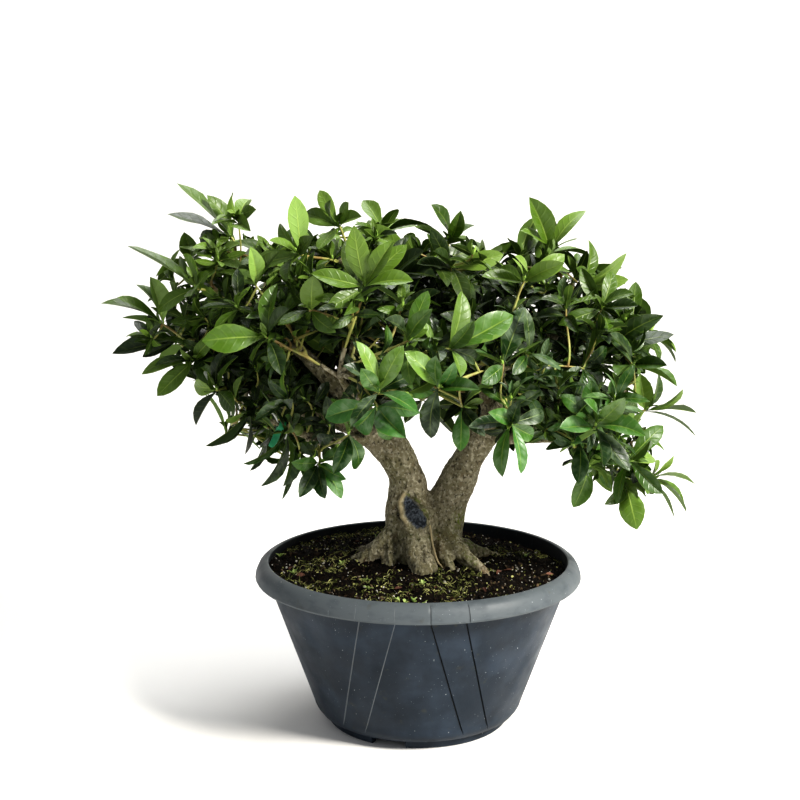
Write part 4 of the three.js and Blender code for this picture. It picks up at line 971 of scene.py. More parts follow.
# Where sprouts and fallen leaves lie at the front, as x and y.
SPROUTS = ((-17.4, -115.0), (-4.8, -115.0), (2.7, -120.0), (-43.3, -85.0), (-112.0, -40.0), (100.0, -84.0))
FALLEN = ((26.0, -100.0), (31.0, -96.0), (-14.9, -80.0), (-7.9, -70.0), (58.0, -78.0))


@dataclass
class Soil:
    """The bed that fills the pot, and the crumbs, grit, moss and litter that lie on it."""

    edge_height: float = 141.0
    tilt: float = 3.2
    mound: float = 9.0
    mound_radius: float = 78.0
    ripple: float = 1.3
    radius: float = 137.6
    # the crumbly surface: how deep each grain is, how wide, and the seed of its noise
    grains: tuple[tuple[float, float, int], ...] = ((1.6, 6.5, 1), (1.2, 2.8, 2), (1.4, 19.0, 3))
    heap: float = 2.6
    heap_reach: float = 11.0
    # the bed's outline under its edge, where the pot hides it, as radius and height
    hidden: tuple[Span, ...] = ((86.9, 9.9), (93.7, 19.4), (134.2, 131.8))
    finish: SoilFinish = SoilFinish()

    def height(self, x: Array, y: Array) -> Array:
        """Work out the surface's mean height.

        Args:
            x, y: places in the pot.

        Returns:
            A tilted plane with a bell-shaped mound and a slow ripple.
        """
        flat = self.edge_height - self.tilt * x / OPENING
        flat = flat + self.mound * bell(np.hypot(x, y) / self.mound_radius)
        return flat + self.ripple * np.sin(x * 0.09 + 1) * np.cos(y * 0.075)

    def lumps(self, x: Array, y: Array) -> Array:
        """Work out how far the crumbly surface stands over its mean height.

        Args:
            x, y: places in the pot.

        Returns:
            The rise at each: the grains' noises, and a heap against the roots.
        """
        flat = np.column_stack([x.ravel(), y.ravel(), np.zeros(x.size)])
        rough = sum(depth * lattice_noise(flat, cell, seed) for depth, cell, seed in self.grains)
        nearest = np.full(len(flat), np.inf)
        for path in [*ROOTS, *SWELLINGS]:
            for root in curve_through(path, 14):
                nearest = np.minimum(nearest, np.hypot(flat[:, 0] - root[0], flat[:, 1] - root[1]))
        return (rough + self.heap * bell(nearest / self.heap_reach)).reshape(x.shape)

    def ground(self, x: Array, y: Array) -> Array:
        """The height of the surface itself."""
        return self.height(x, y) + self.lumps(x, y)

    def scatter(self, rng: Random, count: int, clear: float = 0.0) -> Array:
        """Even random places on the bed.

        Args:
            rng: the seeded source.
            count: how many.
            clear: the radius round the trunk that stays free.

        Returns:
            Points on the surface.
        """
        angle = rng.uniform(0, 2 * np.pi, count)
        radius = np.sqrt(rng.uniform((clear / self.radius) ** 2, 0.985, count)) * self.radius
        x, y = radius * np.cos(angle), radius * np.sin(angle)
        return np.column_stack([x, y, self.ground(x, y)])

    def bed(self) -> Shape:
        """Shape the closed bed: fine over its top, plain where the pot hides it.

        Returns:
            The bed, turned from rings that shrink towards the middle.
        """
        turns = np.linspace(0, 2 * np.pi, 240, endpoint=False)
        shares = np.concatenate([np.linspace(1, 0.2, 66), [0.12, 0.05]])
        x = shares[:, None] * self.radius * np.cos(turns)
        y = shares[:, None] * self.radius * np.sin(turns)
        # the crumbs fade out at the edge, which lies flat against the pot
        rough = self.lumps(x, y) * smooth(1 - shares, 0, 0.03)[:, None]
        top = np.stack([x, y, self.height(x, y) + rough], axis=-1)
        radii, heights = (np.array(self.hidden)[:, k, None] for k in range(2))
        sides = [radii * np.cos(turns), radii * np.sin(turns), np.broadcast_to(heights, (3, len(turns)))]
        grid = np.concatenate([np.stack(sides, axis=-1), top]).reshape(-1, 3)
        index = np.arange(len(grid)).reshape(-1, len(turns))
        poles = np.array([[0, 0, self.hidden[0][1]], [0, 0, self.height(0.0, 0.0)]])
        return Shape(np.vstack([grid, poles]), capped(index, len(grid)))

    def strands(self, rng: Random, start: Array, length: Span, thick: float) -> Shape:
        """Thin curved threads that lie on the bed or stand out of it.

        Args:
            rng: the seeded source.
            start: where they start.
            length: the shortest and the longest.
            thick: their radius.

        Returns:
            The threads in one shape, with their tone.
        """
        count = len(start)
        heading = rng.uniform(0, 2 * np.pi, count)
        reach = rng.uniform(*length, count)
        bend = rng.normal(0, 1.2, count)
        rise = rng.uniform(0.05, 0.6, count)
        t = np.linspace(0, 1, 5)[None, :]
        angle = heading[:, None] + bend[:, None] * t
        path = np.zeros((count, 5, 3))
        path[..., 0] = start[:, :1] + reach[:, None] * t * np.cos(angle)
        path[..., 1] = start[:, 1:2] + reach[:, None] * t * np.sin(angle)
        over = np.minimum(1, (self.radius - 1.5) / np.maximum(np.hypot(path[..., 0], path[..., 1]), 1))
        path[..., :2] *= over[..., None]
        path[..., 2] = self.ground(path[..., 0], path[..., 1]) + 0.3
        path[..., 2] += reach[:, None] * rise[:, None] * np.sin(np.pi * t * 0.9)
        radii = np.broadcast_to(thick * np.array([0.8, 1, 0.9, 0.7, 0.3]), (count, 5))
        shape = make_tubes(path, radii, 3)
        return shape.with_values(tone=np.repeat(rng.uniform(0, 1, count) ** 2.5, len(shape.points) // count))

    def bits(self, rng: Random, kind: Bits) -> Shape:
        """Strew lumps over the bed, half sunk in it.

        Args:
            rng: the seeded source.
            kind: how many, how large and how deep.

        Returns:
            The lumps in one shape.
        """
        centres = self.scatter(rng, kind.count, 10)
        sizes = rng.uniform(0.6, 1.0, (kind.count, 3)) * rng.lognormal(0, 0.35, (kind.count, 1))
        sizes = np.minimum(sizes * np.array(kind.shape), kind.largest)
        return make_bits(centres + [0, 0, kind.lift], sizes, rng)

    def build(self) -> None:
        """Build the bed and what lies on it."""
        finish = self.finish
        make_piece("soil_bed", self.bed(), [finish.mix()], ("soil",), sharp=180)
        rng = np.random.default_rng(4101)
        for kind in BITS:
            low, high = (getattr(finish, name) for name in kind.colours)
            look = finish.by_tone(kind.name, low, high, 0.85, 2.0)
            make_piece(kind.name, self.bits(rng, kind), [look], sharp=35)
        # moss grows in patches, thickest on the left and near the front
        start = self.scatter(rng, 5200, 20)
        patch = lattice_noise(start, 26.0, 5) + 0.5 * lattice_noise(start, 9.0, 6)
        patch += 0.35 * smooth(start[:, 0], 60, -100) - 0.002 * start[:, 1]
        green = finish.by_tone("moss_strands", finish.moss, finish.straw, 0.7, 3.0)
        moss = self.strands(rng, start[patch > 0.36], (2, 6.5), 0.24)
        make_piece("moss_strands", moss, [green])
        self.litter(rng)

    def litter(self, rng: Random) -> None:
        """Add small sprouts, and dry azalea leaves that lie curled on the mix.

        Args:
            rng: the seeded source.
        """
        finish = self.finish
        spots = np.array([*SPROUTS, *self.scatter(rng, 9, 70)[:, :2]])
        foot = np.repeat(np.column_stack([spots, self.ground(*spots.T) + 0.5]), 6, axis=0)
        turn = rng.uniform(0, 2 * np.pi, len(foot))
        run = np.column_stack([np.cos(turn), np.sin(turn), rng.uniform(0.4, 1.6, len(foot))])
        tip = foot + unit(run) * rng.uniform(3, 7, (len(foot), 1))
        face = np.column_stack([-np.cos(turn), -np.sin(turn), np.full(len(foot), 1.2)])
        looks = plain_looks(rng, len(foot))
        sprouts = Leaves(foot, tip, face, rng.uniform(1.3, 2.6, len(foot)), looks).shape(rng)
        green = finish.by_tone("sprouts", finish.sprout, finish.sprout_pale, 0.5, 2)
        make_piece("sprouts", sprouts, [green])
        spots = np.array([*FALLEN, *self.scatter(rng, 10, 60)[:, :2]])
        foot = np.column_stack([spots, self.ground(*spots.T) + 1.2])
        turn = rng.uniform(0, 2 * np.pi, len(foot))
        run = np.column_stack([np.cos(turn), np.sin(turn), rng.uniform(-0.05, 0.3, len(foot))])
        length = rng.uniform(4, 9, len(foot))
        face = rng.normal(0, 0.5, foot.shape) + [0, -0.2, 1]
        looks = plain_looks(rng, len(foot))
        fallen = Leaves(foot, foot + run * length[:, None], face, length * 0.45, looks).shape(rng)
        brown = finish.by_tone("fallen_leaves", finish.leaf, finish.leaf_pale, 0.7, 3.0)
        make_piece("fallen_leaves", fallen, [brown])


# Leaves

# Half the stalk's width, half the width of the tip, and the blade's thickness at its rib.
PETIOLE = 0.75
TIP = 0.25
THICKNESS = 0.42
# The values that say how each leaf looks.
LOOKS = ("tone", "age", "cool")


@dataclass(frozen=True)
class Blade:
    """How finely a leaf's blade is divided: rows along it and columns across it."""

    rows: tuple[float, ...]
    columns: tuple[float, ...]

    @property
    def sides(self) -> int:
        """How many faces each side has."""
        return (len(self.rows) - 1) * (len(self.columns) - 1)

    @property
    def points(self) -> int:
        """How many points a blade has: the upper side's, and the underside's within its edge."""
        return len(self.rows) * len(self.columns) + (len(self.rows) - 2) * (len(self.columns) - 2)

    def faces(self) -> Array:
        """Join the points, numbered along the rows of the upper side, then of the underside.

        Returns:
            The faces: first the upper side's, then the underside's.
        """
        rows, columns = len(self.rows), len(self.columns)
        upper = np.arange(rows * columns).reshape(rows, columns)
        lower = upper.copy()
        inner = np.arange((rows - 2) * (columns - 2)).reshape(rows - 2, -1)
        lower[1:-1, 1:-1] = rows * columns + inner
        return np.vstack([quads(upper), quads(lower)[:, ::-1]])


FINE_BLADE = Blade((0, 0.07, 0.19, 0.34, 0.5, 0.65, 0.79, 0.91, 1.0), (-1, -0.52, 0, 0.52, 1.0))
PLAIN_BLADE = Blade((0, 0.12, 0.32, 0.54, 0.75, 0.91, 1.0), (-1, 0, 1.0))


@dataclass(frozen=True)
class Habit:
    """How single leaves differ: the least and the most of each measure, drawn evenly between."""

    # the outline's exponents
    power: Span = (1.0, 1.35)
    blunt: Span = (0.62, 0.82)
    # how steeply the halves rise from the rib, and how far they turn down again at the edge
    fold: Span = (0.4, 1.05)
    droop: Span = (0.15, 0.55)
    # the edge's ripple: its height, how many waves it has, and where they start
    ripple: Span = (0.0, 0.07)
    waves: Span = (1.2, 2.2)
    start: Span = (0.0, 1.0)
    # how far the blade turns about its rib, and how far the rib bends aside
    twist: Span = (-0.8, 0.8)
    sway: Span = (-0.035, 0.035)


HABIT = Habit()


@dataclass
class Leaves:
    """Many leaves: where each starts and ends, which way it looks, and how it is grown."""

    foot: Array
    tip: Array
    face: Array
    width: Array
    # from 0 to 1: how light, how young and how blue-green
    looks: Array
    # how strongly they bow back, as a share of their length
    arch: Span = (0.03, 0.15)
    blade: Blade = FINE_BLADE

    def chosen(self, use: Array) -> "Leaves":
        """Only some of the leaves."""
        rows = (getattr(self, key)[use] for key in ("foot", "tip", "face", "width", "looks"))
        return Leaves(*rows, self.arch, self.blade)

    def shape(self, rng: Random) -> Shape:
        """The blades, each a thin closed lens folded along its rib.

        The half width is sin(π sᵖ)^q of the way s from stalk to tip. The rib arches by a·4t(1 − t)
        of the length.

        Args:
            rng: the seeded source of each leaf's own bend.

        Returns:
            The blades in one shape.
        """
        count = len(self.foot)
        axis = self.tip - self.foot
        length = np.linalg.norm(axis, axis=1)[:, None, None]
        axis = unit(axis)
        across = unit(np.cross(axis, self.face))
        face = np.cross(across, axis)
        t = np.array(self.blade.rows)[None, :, None]
        u = np.array(self.blade.columns)[None, None, :]

        def own(span: Span) -> Array:
            """One even draw for each leaf."""
            return rng.uniform(*span, count)[:, None, None]

        power, blunt = own(HABIT.power), own(HABIT.blunt)
        s = np.clip((t - 0.05) / 0.95, 0, 1)
        outline = np.sin(np.pi * s**power) ** blunt
        half = np.sqrt((outline * self.width[:, None, None] / 2) ** 2 + mix(PETIOLE, TIP, t) ** 2)
        fold, droop, arch = own(HABIT.fold), own(HABIT.droop), own(self.arch)
        ripple = own(HABIT.ripple) * np.sin(2 * np.pi * (own(HABIT.waves) * t + own(HABIT.start)))
        lift = fold * np.abs(u) - droop * u**2 + ripple * np.abs(u) - 0.08
        rise = arch * length * 4 * t * (1 - t) + half * lift
        twist = own(HABIT.twist) * (t - 0.35) * np.sin(np.pi * t)
        sway = own(HABIT.sway) * length * np.sin(np.pi * t)
        spread = u * half + sway
        upper = self.foot[:, None, None] + (t * length)[..., None] * axis[:, None, None]
        upper = upper + spread[..., None] * across[:, None, None]
        upper = upper + (rise + twist * u * half)[..., None] * face[:, None, None]
        thick = (THICKNESS * (1 - u**2) * np.sin(np.pi * np.clip(t, 0.08, 0.95)) ** 0.3)[..., None]
        lower = (upper - thick * face[:, None, None])[:, 1:-1, 1:-1]
        points = np.concatenate([upper.reshape(count, -1, 3), lower.reshape(count, -1, 3)], axis=1)
        grid_t, grid_u = np.broadcast_arrays(t[0], u[0])
        along = np.concatenate([grid_t.ravel(), grid_t[1:-1, 1:-1].ravel()])
        aside = np.concatenate([grid_u.ravel(), grid_u[1:-1, 1:-1].ravel()])
        each = self.blade.points
        shape = Shape(points.reshape(-1, 3), repeated(self.blade.faces(), each, count))
        looks = {name: np.repeat(self.looks[:, k], each) for k, name in enumerate(LOOKS)}
        return shape.with_values(along=np.tile(along, count), aside=np.tile(aside, count), **looks)

    def which(self) -> Array:
        """For each face, 0 on the upper side and 1 on the underside."""
        return np.tile(np.repeat([0, 1], self.blade.sides), len(self.foot))


@dataclass(frozen=True)
class Found:
    """The leaves of a shoot's solid."""

    # numbers of the points: the tips, and the three of each leaf's inner ring
    tips: Array
    rings: Array
    # marks on the solid's points: for each leaf those that it grows from, and all that are of a leaf
    feet: Array
    used: Array


def find_leaves(shape: Shape) -> Found:
    """Find the leaves in a shoot's solid from how its points are joined.

    A leaf's tip has three neighbours, its outer ring. Theirs are its inner ring, and theirs again
    are the four corners of the stem that the leaf grows from.

    Args:
        shape: the shoot's solid.

    Returns:
        The leaves.
    """
    count = len(shape.points)
    joined = np.zeros((count, count), dtype=bool)
    faces = shape.faces[:, :3]
    for a, b in ((0, 1), (1, 2), (2, 0)):
        joined[faces[:, a], faces[:, b]] = True
        joined[faces[:, b], faces[:, a]] = True
    tips = np.flatnonzero(joined.sum(axis=1) == 3)
    outer = joined[tips]
    here = np.zeros_like(outer)
    here[np.arange(len(tips)), tips] = True
    number = joined.astype(int)
    inner = (outer.astype(int) @ number > 0) & ~outer & ~here
    feet = (inner.astype(int) @ number > 0) & ~inner & ~outer & ~here
    good = (inner.sum(axis=1) == 3) & (feet.sum(axis=1) <= 4) & (feet.sum(axis=1) >= 3)
    tips, outer, inner, feet = tips[good], outer[good], inner[good], feet[good]
    used = np.zeros(count, dtype=bool)
    used[tips] = True
    used |= outer.any(axis=0) | inner.any(axis=0)
    return Found(tips, np.nonzero(inner)[1].reshape(-1, 3), feet, used)


def widest_pair(points: Array) -> tuple[Array, Array, Array]:
    """Split groups of three points.

    Args:
        points: the groups.

    Returns:
        The two points of each that are furthest apart, then its third.
    """
    gaps = np.linalg.norm(points - np.roll(points, -1, axis=1), axis=2)
    first = np.argmax(gaps, axis=1)
    rows = np.arange(len(points))
    return points[rows, first], points[rows, (first + 1) % 3], points[rows, (first + 2) % 3]


@dataclass(frozen=True)
class LeafFinish:
    """Fresh azalea leaf: a waxed upper side with sunk pale veins, and a dull pale underside."""

    # near black and deep olive: painted shade on the leaves deep inside the crown, and the darker leaves at
    # its skin
    dark: str = "#0D1B03"
    deep: str = "#213805"
    mid: str = "#456010"
    cool: str = "#376326"
    cool_deep: str = "#1B4211"
    young: str = "#6A8536"
    bright: str = "#84A454"
    rib: str = "#9DB255"
    under: str = "#5D7A2E"
    # the whitish green of the painted sheen, a reflection of the sky
    sky_sheen: str = "#A3B897"
    stem: str = "#9A9B55"
    stem_red: str = "#7E5B39"
    bud_green: str = "#8FB04A"

    def upper(self) -> Material:
        """The waxed upper side.

        Returns:
            The material.
        """
        coat = Surface("azalea_leaf_upper", self.mid, 0.36, 0.3)
        tone, age, cool = (coat.value(name) for name in ("tone", "age", "cool"))
        # the blade's colour: olive, blue-green low on the front under the rest, and darker to near black as
        # its tone falls, which is painted shade deep inside the crown and some darker leaves at its skin
        coat.lay(self.deep, coat.ramp(tone, 0.7, 0.15))
        coat.lay(self.cool, coat.times(cool, coat.ramp(tone, 0.1, 0.8)))
        coat.lay(self.cool_deep, coat.times(cool, coat.ramp(tone, 0.55, 0.1)))
        coat.lay(self.dark, coat.ramp(tone, 0.3, 0.0), 0.8)
        # with youth it goes to yellow-green and then to lime
        coat.lay(self.young, coat.ramp(age, 0.1, 0.6))
        coat.lay(self.bright, coat.ramp(age, 0.6, 1.0))
        # a painted whitish sheen in patches, for the sky reflected in the leaves, strongest where the leaves
        # are blue-green
        sheen_patches = coat.times(coat.ramp(coat.noise(11, 4), 0.45, 0.75), coat.ramp(cool, -0.25, 1.0))
        coat.lay(self.sky_sheen, sheen_patches, 0.34)
        # mottling a few millimetres wide
        coat.mottle(self.deep, 6, 4, (0.52, 0.8), 0.3)
        along, aside = coat.value("along"), coat.math("ABSOLUTE", coat.value("aside"))
        # side veins leave the rib forwards: lines of along less a share of aside
        slant = coat.math("SUBTRACT", along, coat.times(aside, 0.16))
        wave = coat.math("ABSOLUTE", coat.math("SINE", coat.times(slant, 21.0)))
        vein = coat.times(coat.ramp(wave, 0.45, 0.0), coat.ramp(aside, 1.0, 0.6))
        coat.lay(self.rib, vein, 0.05)
        # the pale rib thins out towards the tip, and the margin is pale where it thins
        rib = coat.times(coat.ramp(aside, 0.08, 0.02), coat.ramp(along, 1.15, 0.3))
        coat.lay(self.rib, coat.times(rib, coat.ramp(tone, -0.9, 0.9)), 0.62)
        coat.lay(self.rib, coat.ramp(aside, 0.95, 1.0), 0.3)
        coat.bump(coat.math("MAXIMUM", vein, rib), 0.3, 0.6)
        coat.grain(2.4, 2, 0.15, 0.5)
        coat.dull(coat.ramp(coat.noise(5, 3), -0.35, 1.9))
        return coat.done()

    def lower(self) -> Material:
        """The dull underside, with its raised rib.

        Returns:
            The material.
        """
        coat = Surface("azalea_leaf_under", self.under, 0.6, 0.3)
        tone, age = coat.value("tone"), coat.value("age")
        # painted shade: darker on leaves deep inside the crown, whose tone is low
        coat.lay(self.deep, coat.ramp(tone, 0.9, 0.0), 0.85)
        coat.lay(self.young, age, 0.8)
        aside = coat.math("ABSOLUTE", coat.value("aside"))
        rib = coat.ramp(aside, 0.12, 0.04)
        coat.lay(self.rib, rib, 0.5)
        coat.bump(rib, 0.4, 0.6)
        coat.mottle(self.mid, 6, 3, (0.5, 0.8), 0.3)
        return coat.done()

    def young_stem(self) -> Material:
        """Soft new wood, straw to green, reddish where it is older."""
        coat = Surface("young_stem", self.stem, 0.5, 0.4).mottle(self.stem_red, 22, 3, (0.5, 0.62), 0.75)
        return coat.mottle(self.under, 7, 3, (0.5, 0.7), 0.5).grain(1.2, 3, 0.25, 0.6, (1, 1, 3)).done()

    def bud(self) -> Material:
        """Next year's buds: pale green, with scales."""
        coat = Surface("leaf_bud", self.bud_green, 0.45, 0.4).mottle(self.bright, 3, 3, (0.4, 0.7), 0.7)
        return coat.grain(1.0, 2, 0.3, 0.8, (1, 1, 2.5)).done()


def plain_looks(rng: Random, count: int) -> Array:
    """Looks of leaves that differ only in how light they are."""
    return np.column_stack([rng.uniform(0, 1, count), np.zeros((count, 2))])


# Leaves that stand out in the photo: where their tips are, as x and z, how light and how young.
NOTED_LEAVES = np.array([
    (-103, 482, 1.0, 0.85), (-123, 446, 0.7, 0.35), (-138, 441, 1.0, 0.85), (-158, 417, 1.0, 0.8),
    (-233, 412, 0.9, 0.8), (-276, 389, 0.3, 0.2), (-260, 395, 0.4, 0.2), (-280, 345, 0.1, 0.0),
    (-240, 329, 0.6, 0.3), (-227, 310, 0.5, 0.2), (-209, 492, 0.45, 0.15), (-221, 465, 0.25, 0.05),
    (-185, 482, 0.5, 0.2), (-205, 450, 0.4, 0.2), (-187, 440, 0.2, 0.05), (-177, 366, 0.7, 0.12),
    (-197, 317, 0.8, 0.6), (-167, 291, 0.8, 0.7), (-87, 486, 0.7, 0.5), (-75, 478, 0.5, 0.25),
    (-50, 373, 0.9, 0.5), (-14, 370, 0.9, 0.42), (-76, 308, 1.0, 0.05), (-53, 298, 0.9, 0.0),
    (-38, 296, 0.35, 0.0), (-12, 298, 0.8, 0.0), (-2, 317, 0.8, 0.0), (-70, 335, 0.6, 0.0),
    (-53, 459, 0.8, 0.4), (-57, 435, 0.8, 0.35), (-87, 421, 0.6, 0.2), (-86, 419, 0.9, 0.45),
    (-6, 415, 0.7, 0.2), (10, 474, 0.25, 0.05), (36, 470, 0.4, 0.1), (35, 266, 0.9, 0.05),
    (64, 264, 0.9, 0.2), (79, 265, 0.8, 0.1), (76, 434, 0.8, 0.5), (92, 436, 0.8, 0.4),
    (116, 429, 0.8, 0.4), (97, 480, 0.5, 0.15), (150, 468, 0.8, 0.35), (114, 468, 0.1, 0.0),
    (184, 431, 0.7, 0.35), (183, 409, 0.8, 0.4), (194, 327, 0.8, 0.4), (229, 319, 0.8, 0.45),
    (250, 273, 0.2, 0.0), (212, 248, 0.8, 0.6), (231, 246, 0.8, 0.6), (136, 210, 0.6, 0.0),
])
NOTED_REACH = 9.0
# The middle of the crown and how far it reaches from there, and where the limbs part.
CROWN_MIDDLE = np.array([-5, 0, 330])
CROWN_REACH = np.array([265, 190, 140])
FORK = np.array([5, 0, 270])
# Between these pairs of corners, as the viewer sees them, leaves show their edges: x and z.
EDGE_ON = np.array([[(-205.0, 224.0), (-110.0, 290.0)], [(214.0, 205.0), (280.0, 345.0)]])


def blue_green(places: Array) -> Array:
    """How blue-green leaves are: those low on the front, in the shade of the rest."""
    low = smooth(places[:, 2], 400, 325) * smooth(-places[:, 1], 5, 90)
    return low * smooth(np.abs(places[:, 0] - 30), 195, 110)


def depth_in_crown(places: Array) -> Array:
    """How far out places are: 0 at the middle of the crown and 1 at its skin."""
    return np.linalg.norm((places - CROWN_MIDDLE) / CROWN_REACH, axis=1)


@dataclass(frozen=True)
class Whorl:
    """How the leaves of a rosette stand."""

    count: int
    # the leaves' lengths, and how far they open from the stem, in radians
    length: Span
    opening: Span
    # their width as a share of their length
    share: Span = (0.27, 0.39)
    # how far they hang, and where they start along the stem
    droop: float = 0.0
    shift: float = 0.0
    arch: Span = (0.04, 0.18)
    # how far each turns about its rib, and how strongly whole rosettes grow
    roll: float = 0.3
    vigour: Span = (0.85, 1.1)
    blade: Blade = FINE_BLADE


YOUNG_WHORL = Whorl(3, (9, 19), (0.3, 0.8), shift=1.5)
FILL_YOUNG = replace(YOUNG_WHORL, blade=PLAIN_BLADE)
FILL_WHORL = Whorl(8, (18, 34), (0.5, 1.4), (0.24, 0.36), 0.12, 0, (0.04, 0.2), 0.55, (0.6, 1.1), PLAIN_BLADE)
FILL_LOWER = Whorl(3, (22, 36), (1, 1.7), (0.27, 0.4), 0.25, -8, (0.04, 0.2), 0.5, (0.7, 1.1), PLAIN_BLADE)
ROSETTE_REACH = 15.0
BUD_LENGTH = 8.0
BUD_RADIUS = 1.5
# The numbers of a leafy piece's materials, after those of the leaves' two sides.
STEM = 2
BUD = 3


@dataclass
class Foliage:
    """Every shoot of the solids, rebuilt fine."""

    # how light leaves at the crown's skin are, before those in the dark are cut off at 0
    lightness: Span = (-0.3, 0.95)
    # the heights between which leaves get younger, how young they are above, and how they differ
    young_above: Span = (330.0, 440.0)
    youth: float = 0.33
    unlike: float = 0.07
    # the share of lime leaves at the skin, and how much younger they look
    lime_share: float = 0.07
    lime: float = 0.3
    finish: LeafFinish = LeafFinish()
    stems: list[Array] = field(default_factory=list)
    starts: list[Array] = field(default_factory=list)
    rosettes: list[Array] = field(default_factory=list)
    materials: list[Material] = field(default_factory=list)

    def looks(self, rng: Random, places: Array) -> Array:
        """Choose how leaves look: darkened inside the crown as painted shade, younger at its top, and a few
        lime.

        Args:
            rng: the seeded source.
            places: where the leaves grow.

        Returns:
            How light, how young and how blue-green each is, from 0 to 1.
        """
        count = len(places)
        # painted shade: within 0.55 of the crown's reach the tone is 0, and it rises towards the skin
        out = smooth(depth_in_crown(places), 0.55, 1.0)
        tone = np.clip(rng.uniform(*self.lightness, count) * out + 0.15 * out, 0, 1)
        age = self.youth * smooth(places[:, 2], *self.young_above) * out
        age = age + rng.normal(0, self.unlike, count)
        age += np.where(rng.uniform(0, 1, count) < self.lime_share * out, self.lime, 0)
        return np.column_stack([tone, np.clip(age, 0, 1), blue_green(places)])

    def rosette_leaves(self, rng: Random, centre: Array, along: Array, whorl: Whorl) -> Leaves:
        """Leaves in whorls round given stem ends.

        Args:
            rng: the seeded source.
            centre: the stem ends.
            along: the way each stem runs there.
            whorl: how many leaves, how long and how far they open.

        Returns:
            The leaves of all the whorls.
        """
        count, each = len(centre), whorl.count
        helper = np.where(np.abs(along[:, 2:]) < 0.9, [0, 0, 1.0], [0, 1.0, 0])
        side = unit(np.cross(along, helper))
        other = np.cross(along, side)
        turn = rng.uniform(0, 2 * np.pi, (count, 1)) + 2 * np.pi * np.arange(each) / each
        turn = (turn + rng.normal(0, 0.22, turn.shape))[..., None]
        out = side[:, None] * np.cos(turn) + other[:, None] * np.sin(turn)
        open_angle = rng.uniform(*whorl.opening, (count, each, 1))
        direction = along[:, None] * np.cos(open_angle) + out * np.sin(open_angle)
        direction[..., 2] -= whorl.droop * rng.uniform(0, 1.6, (count, each))
        direction = unit(direction)
        length = rng.uniform(*whorl.length, (count, each, 1)) * rng.uniform(*whorl.vigour, (count, 1, 1))
        step = rng.uniform(-2.5, 2.5, (count, each, 1)) + whorl.shift
        foot = centre[:, None] + along[:, None] * step + out * 0.7
        face = along[:, None] * 0.75 + np.array([0, -0.1, 0.35]) - direction * 0.2
        face = face + rng.normal(0, whorl.roll, face.shape)
        flat = (count * each, 3)
        foot = foot.reshape(flat)
        tip = foot + (direction * length).reshape(flat)
        width = rng.uniform(*whorl.share, count * each) * length.reshape(-1)
        return Leaves(foot, tip, face.reshape(flat), width, self.looks(rng, foot), whorl.arch, whorl.blade)

    def buds(self, centre: Array, along: Array) -> Shape:
        """Shape pointed buds.

        Args:
            centre: the stem ends that they stand on.
            along: the way each stem runs there.

        Returns:
            The buds in one shape.
        """
        t = np.linspace(0, 1, 5)
        path = centre[:, None] + along[:, None] * (t * BUD_LENGTH - 1)[None, :, None]
        radii = np.broadcast_to(BUD_RADIUS * np.array([0.55, 1.0, 0.95, 0.55, 0.12]), path.shape[:2])
        return make_tubes(path, radii, 6)

    def stem_shape(self, shape: Shape, found: Found) -> Shape:
        """Take a shoot's stem without its leaves, closed where they were, and round it.

        Args:
            shape: the shoot's solid.
            found: its leaves.

        Returns:
            The stem.
        """
        kept = shape.faces[~found.used[shape.faces[:, :3]].any(axis=1)]
        four = found.feet.sum(axis=1) == 4
        corners = np.nonzero(found.feet[four])[1].reshape(-1, 4)
        place = shape.points[corners]
        middle = place.mean(axis=1, keepdims=True)
        arm = place - middle
        first = np.cross(arm[:, 0], arm[:, 1])
        second = np.cross(arm[:, 0], arm[:, 2])
        longer = (np.linalg.norm(first, axis=1) > np.linalg.norm(second, axis=1))[:, None]
        normal = unit(np.where(longer, first, second))
        outward = shape.points[found.tips[four]] - middle[:, 0]
        normal *= np.sign((normal * outward).sum(axis=1, keepdims=True) + 1e-9)
        east = unit(arm[:, 0])
        north = np.cross(normal, east)
        angle = np.arctan2((arm * north[:, None]).sum(axis=2), (arm * east[:, None]).sum(axis=2))
        patches = np.take_along_axis(corners, np.argsort(angle, axis=1), axis=1)
        faces = np.vstack([kept, patches])
        present, renumbered = np.unique(faces[faces >= 0], return_inverse=True)
        out = np.full_like(faces, NO_POINT)
        out[faces >= 0] = renumbered
        return evaluated(Shape(shape.points[present], out), "SUBSURF", levels=1)

    def own_leaves(self, rng: Random, solid: Shape, found: Found) -> Leaves:
        """Place a shoot's leaves where its solid has them, with the looks that the photo shows.

        Args:
            rng: the seeded source.
            solid: the shoot's solid.
            found: its leaves.

        Returns:
            The leaves.
        """
        ends = solid.points[found.tips]
        share = found.feet / found.feet.sum(axis=1, keepdims=True)
        foot = np.einsum("np,pk->nk", share, solid.points)
        one, two, keel = widest_pair(solid.points[found.rings])
        looks = self.looks(rng, foot)
        gap = distances(ends[:, [0, 2]], NOTED_LEAVES[:, :2])
        nearest = np.argmin(gap, axis=1)
        noted = (gap.min(axis=1) < NOTED_REACH) & (ends[:, 1] < 40)
        looks[noted, :2] = NOTED_LEAVES[nearest[noted], 2:]
        face = unit((one + two) / 2 - keel)
        # low on the left and far out on the right the leaves hang edge-on to the viewer
        shown = seen((foot + ends) / 2)[:, None]
        edge_on = ((shown > EDGE_ON[:, 0]) & (shown < EDGE_ON[:, 1])).all(axis=2).any(axis=1)[:, None]
        turned = unit(np.cross(ends - foot, ends - EYE))
        face = face + rng.normal(0, 0.3, (len(face), 1)) * unit(np.cross(ends - foot, face))
        face = np.where(edge_on, turned * np.sign(turned[:, :1] + 1e-9) + 0.25 * face, face)
        return Leaves(foot, ends, face, np.linalg.norm(one - two, axis=1), looks)

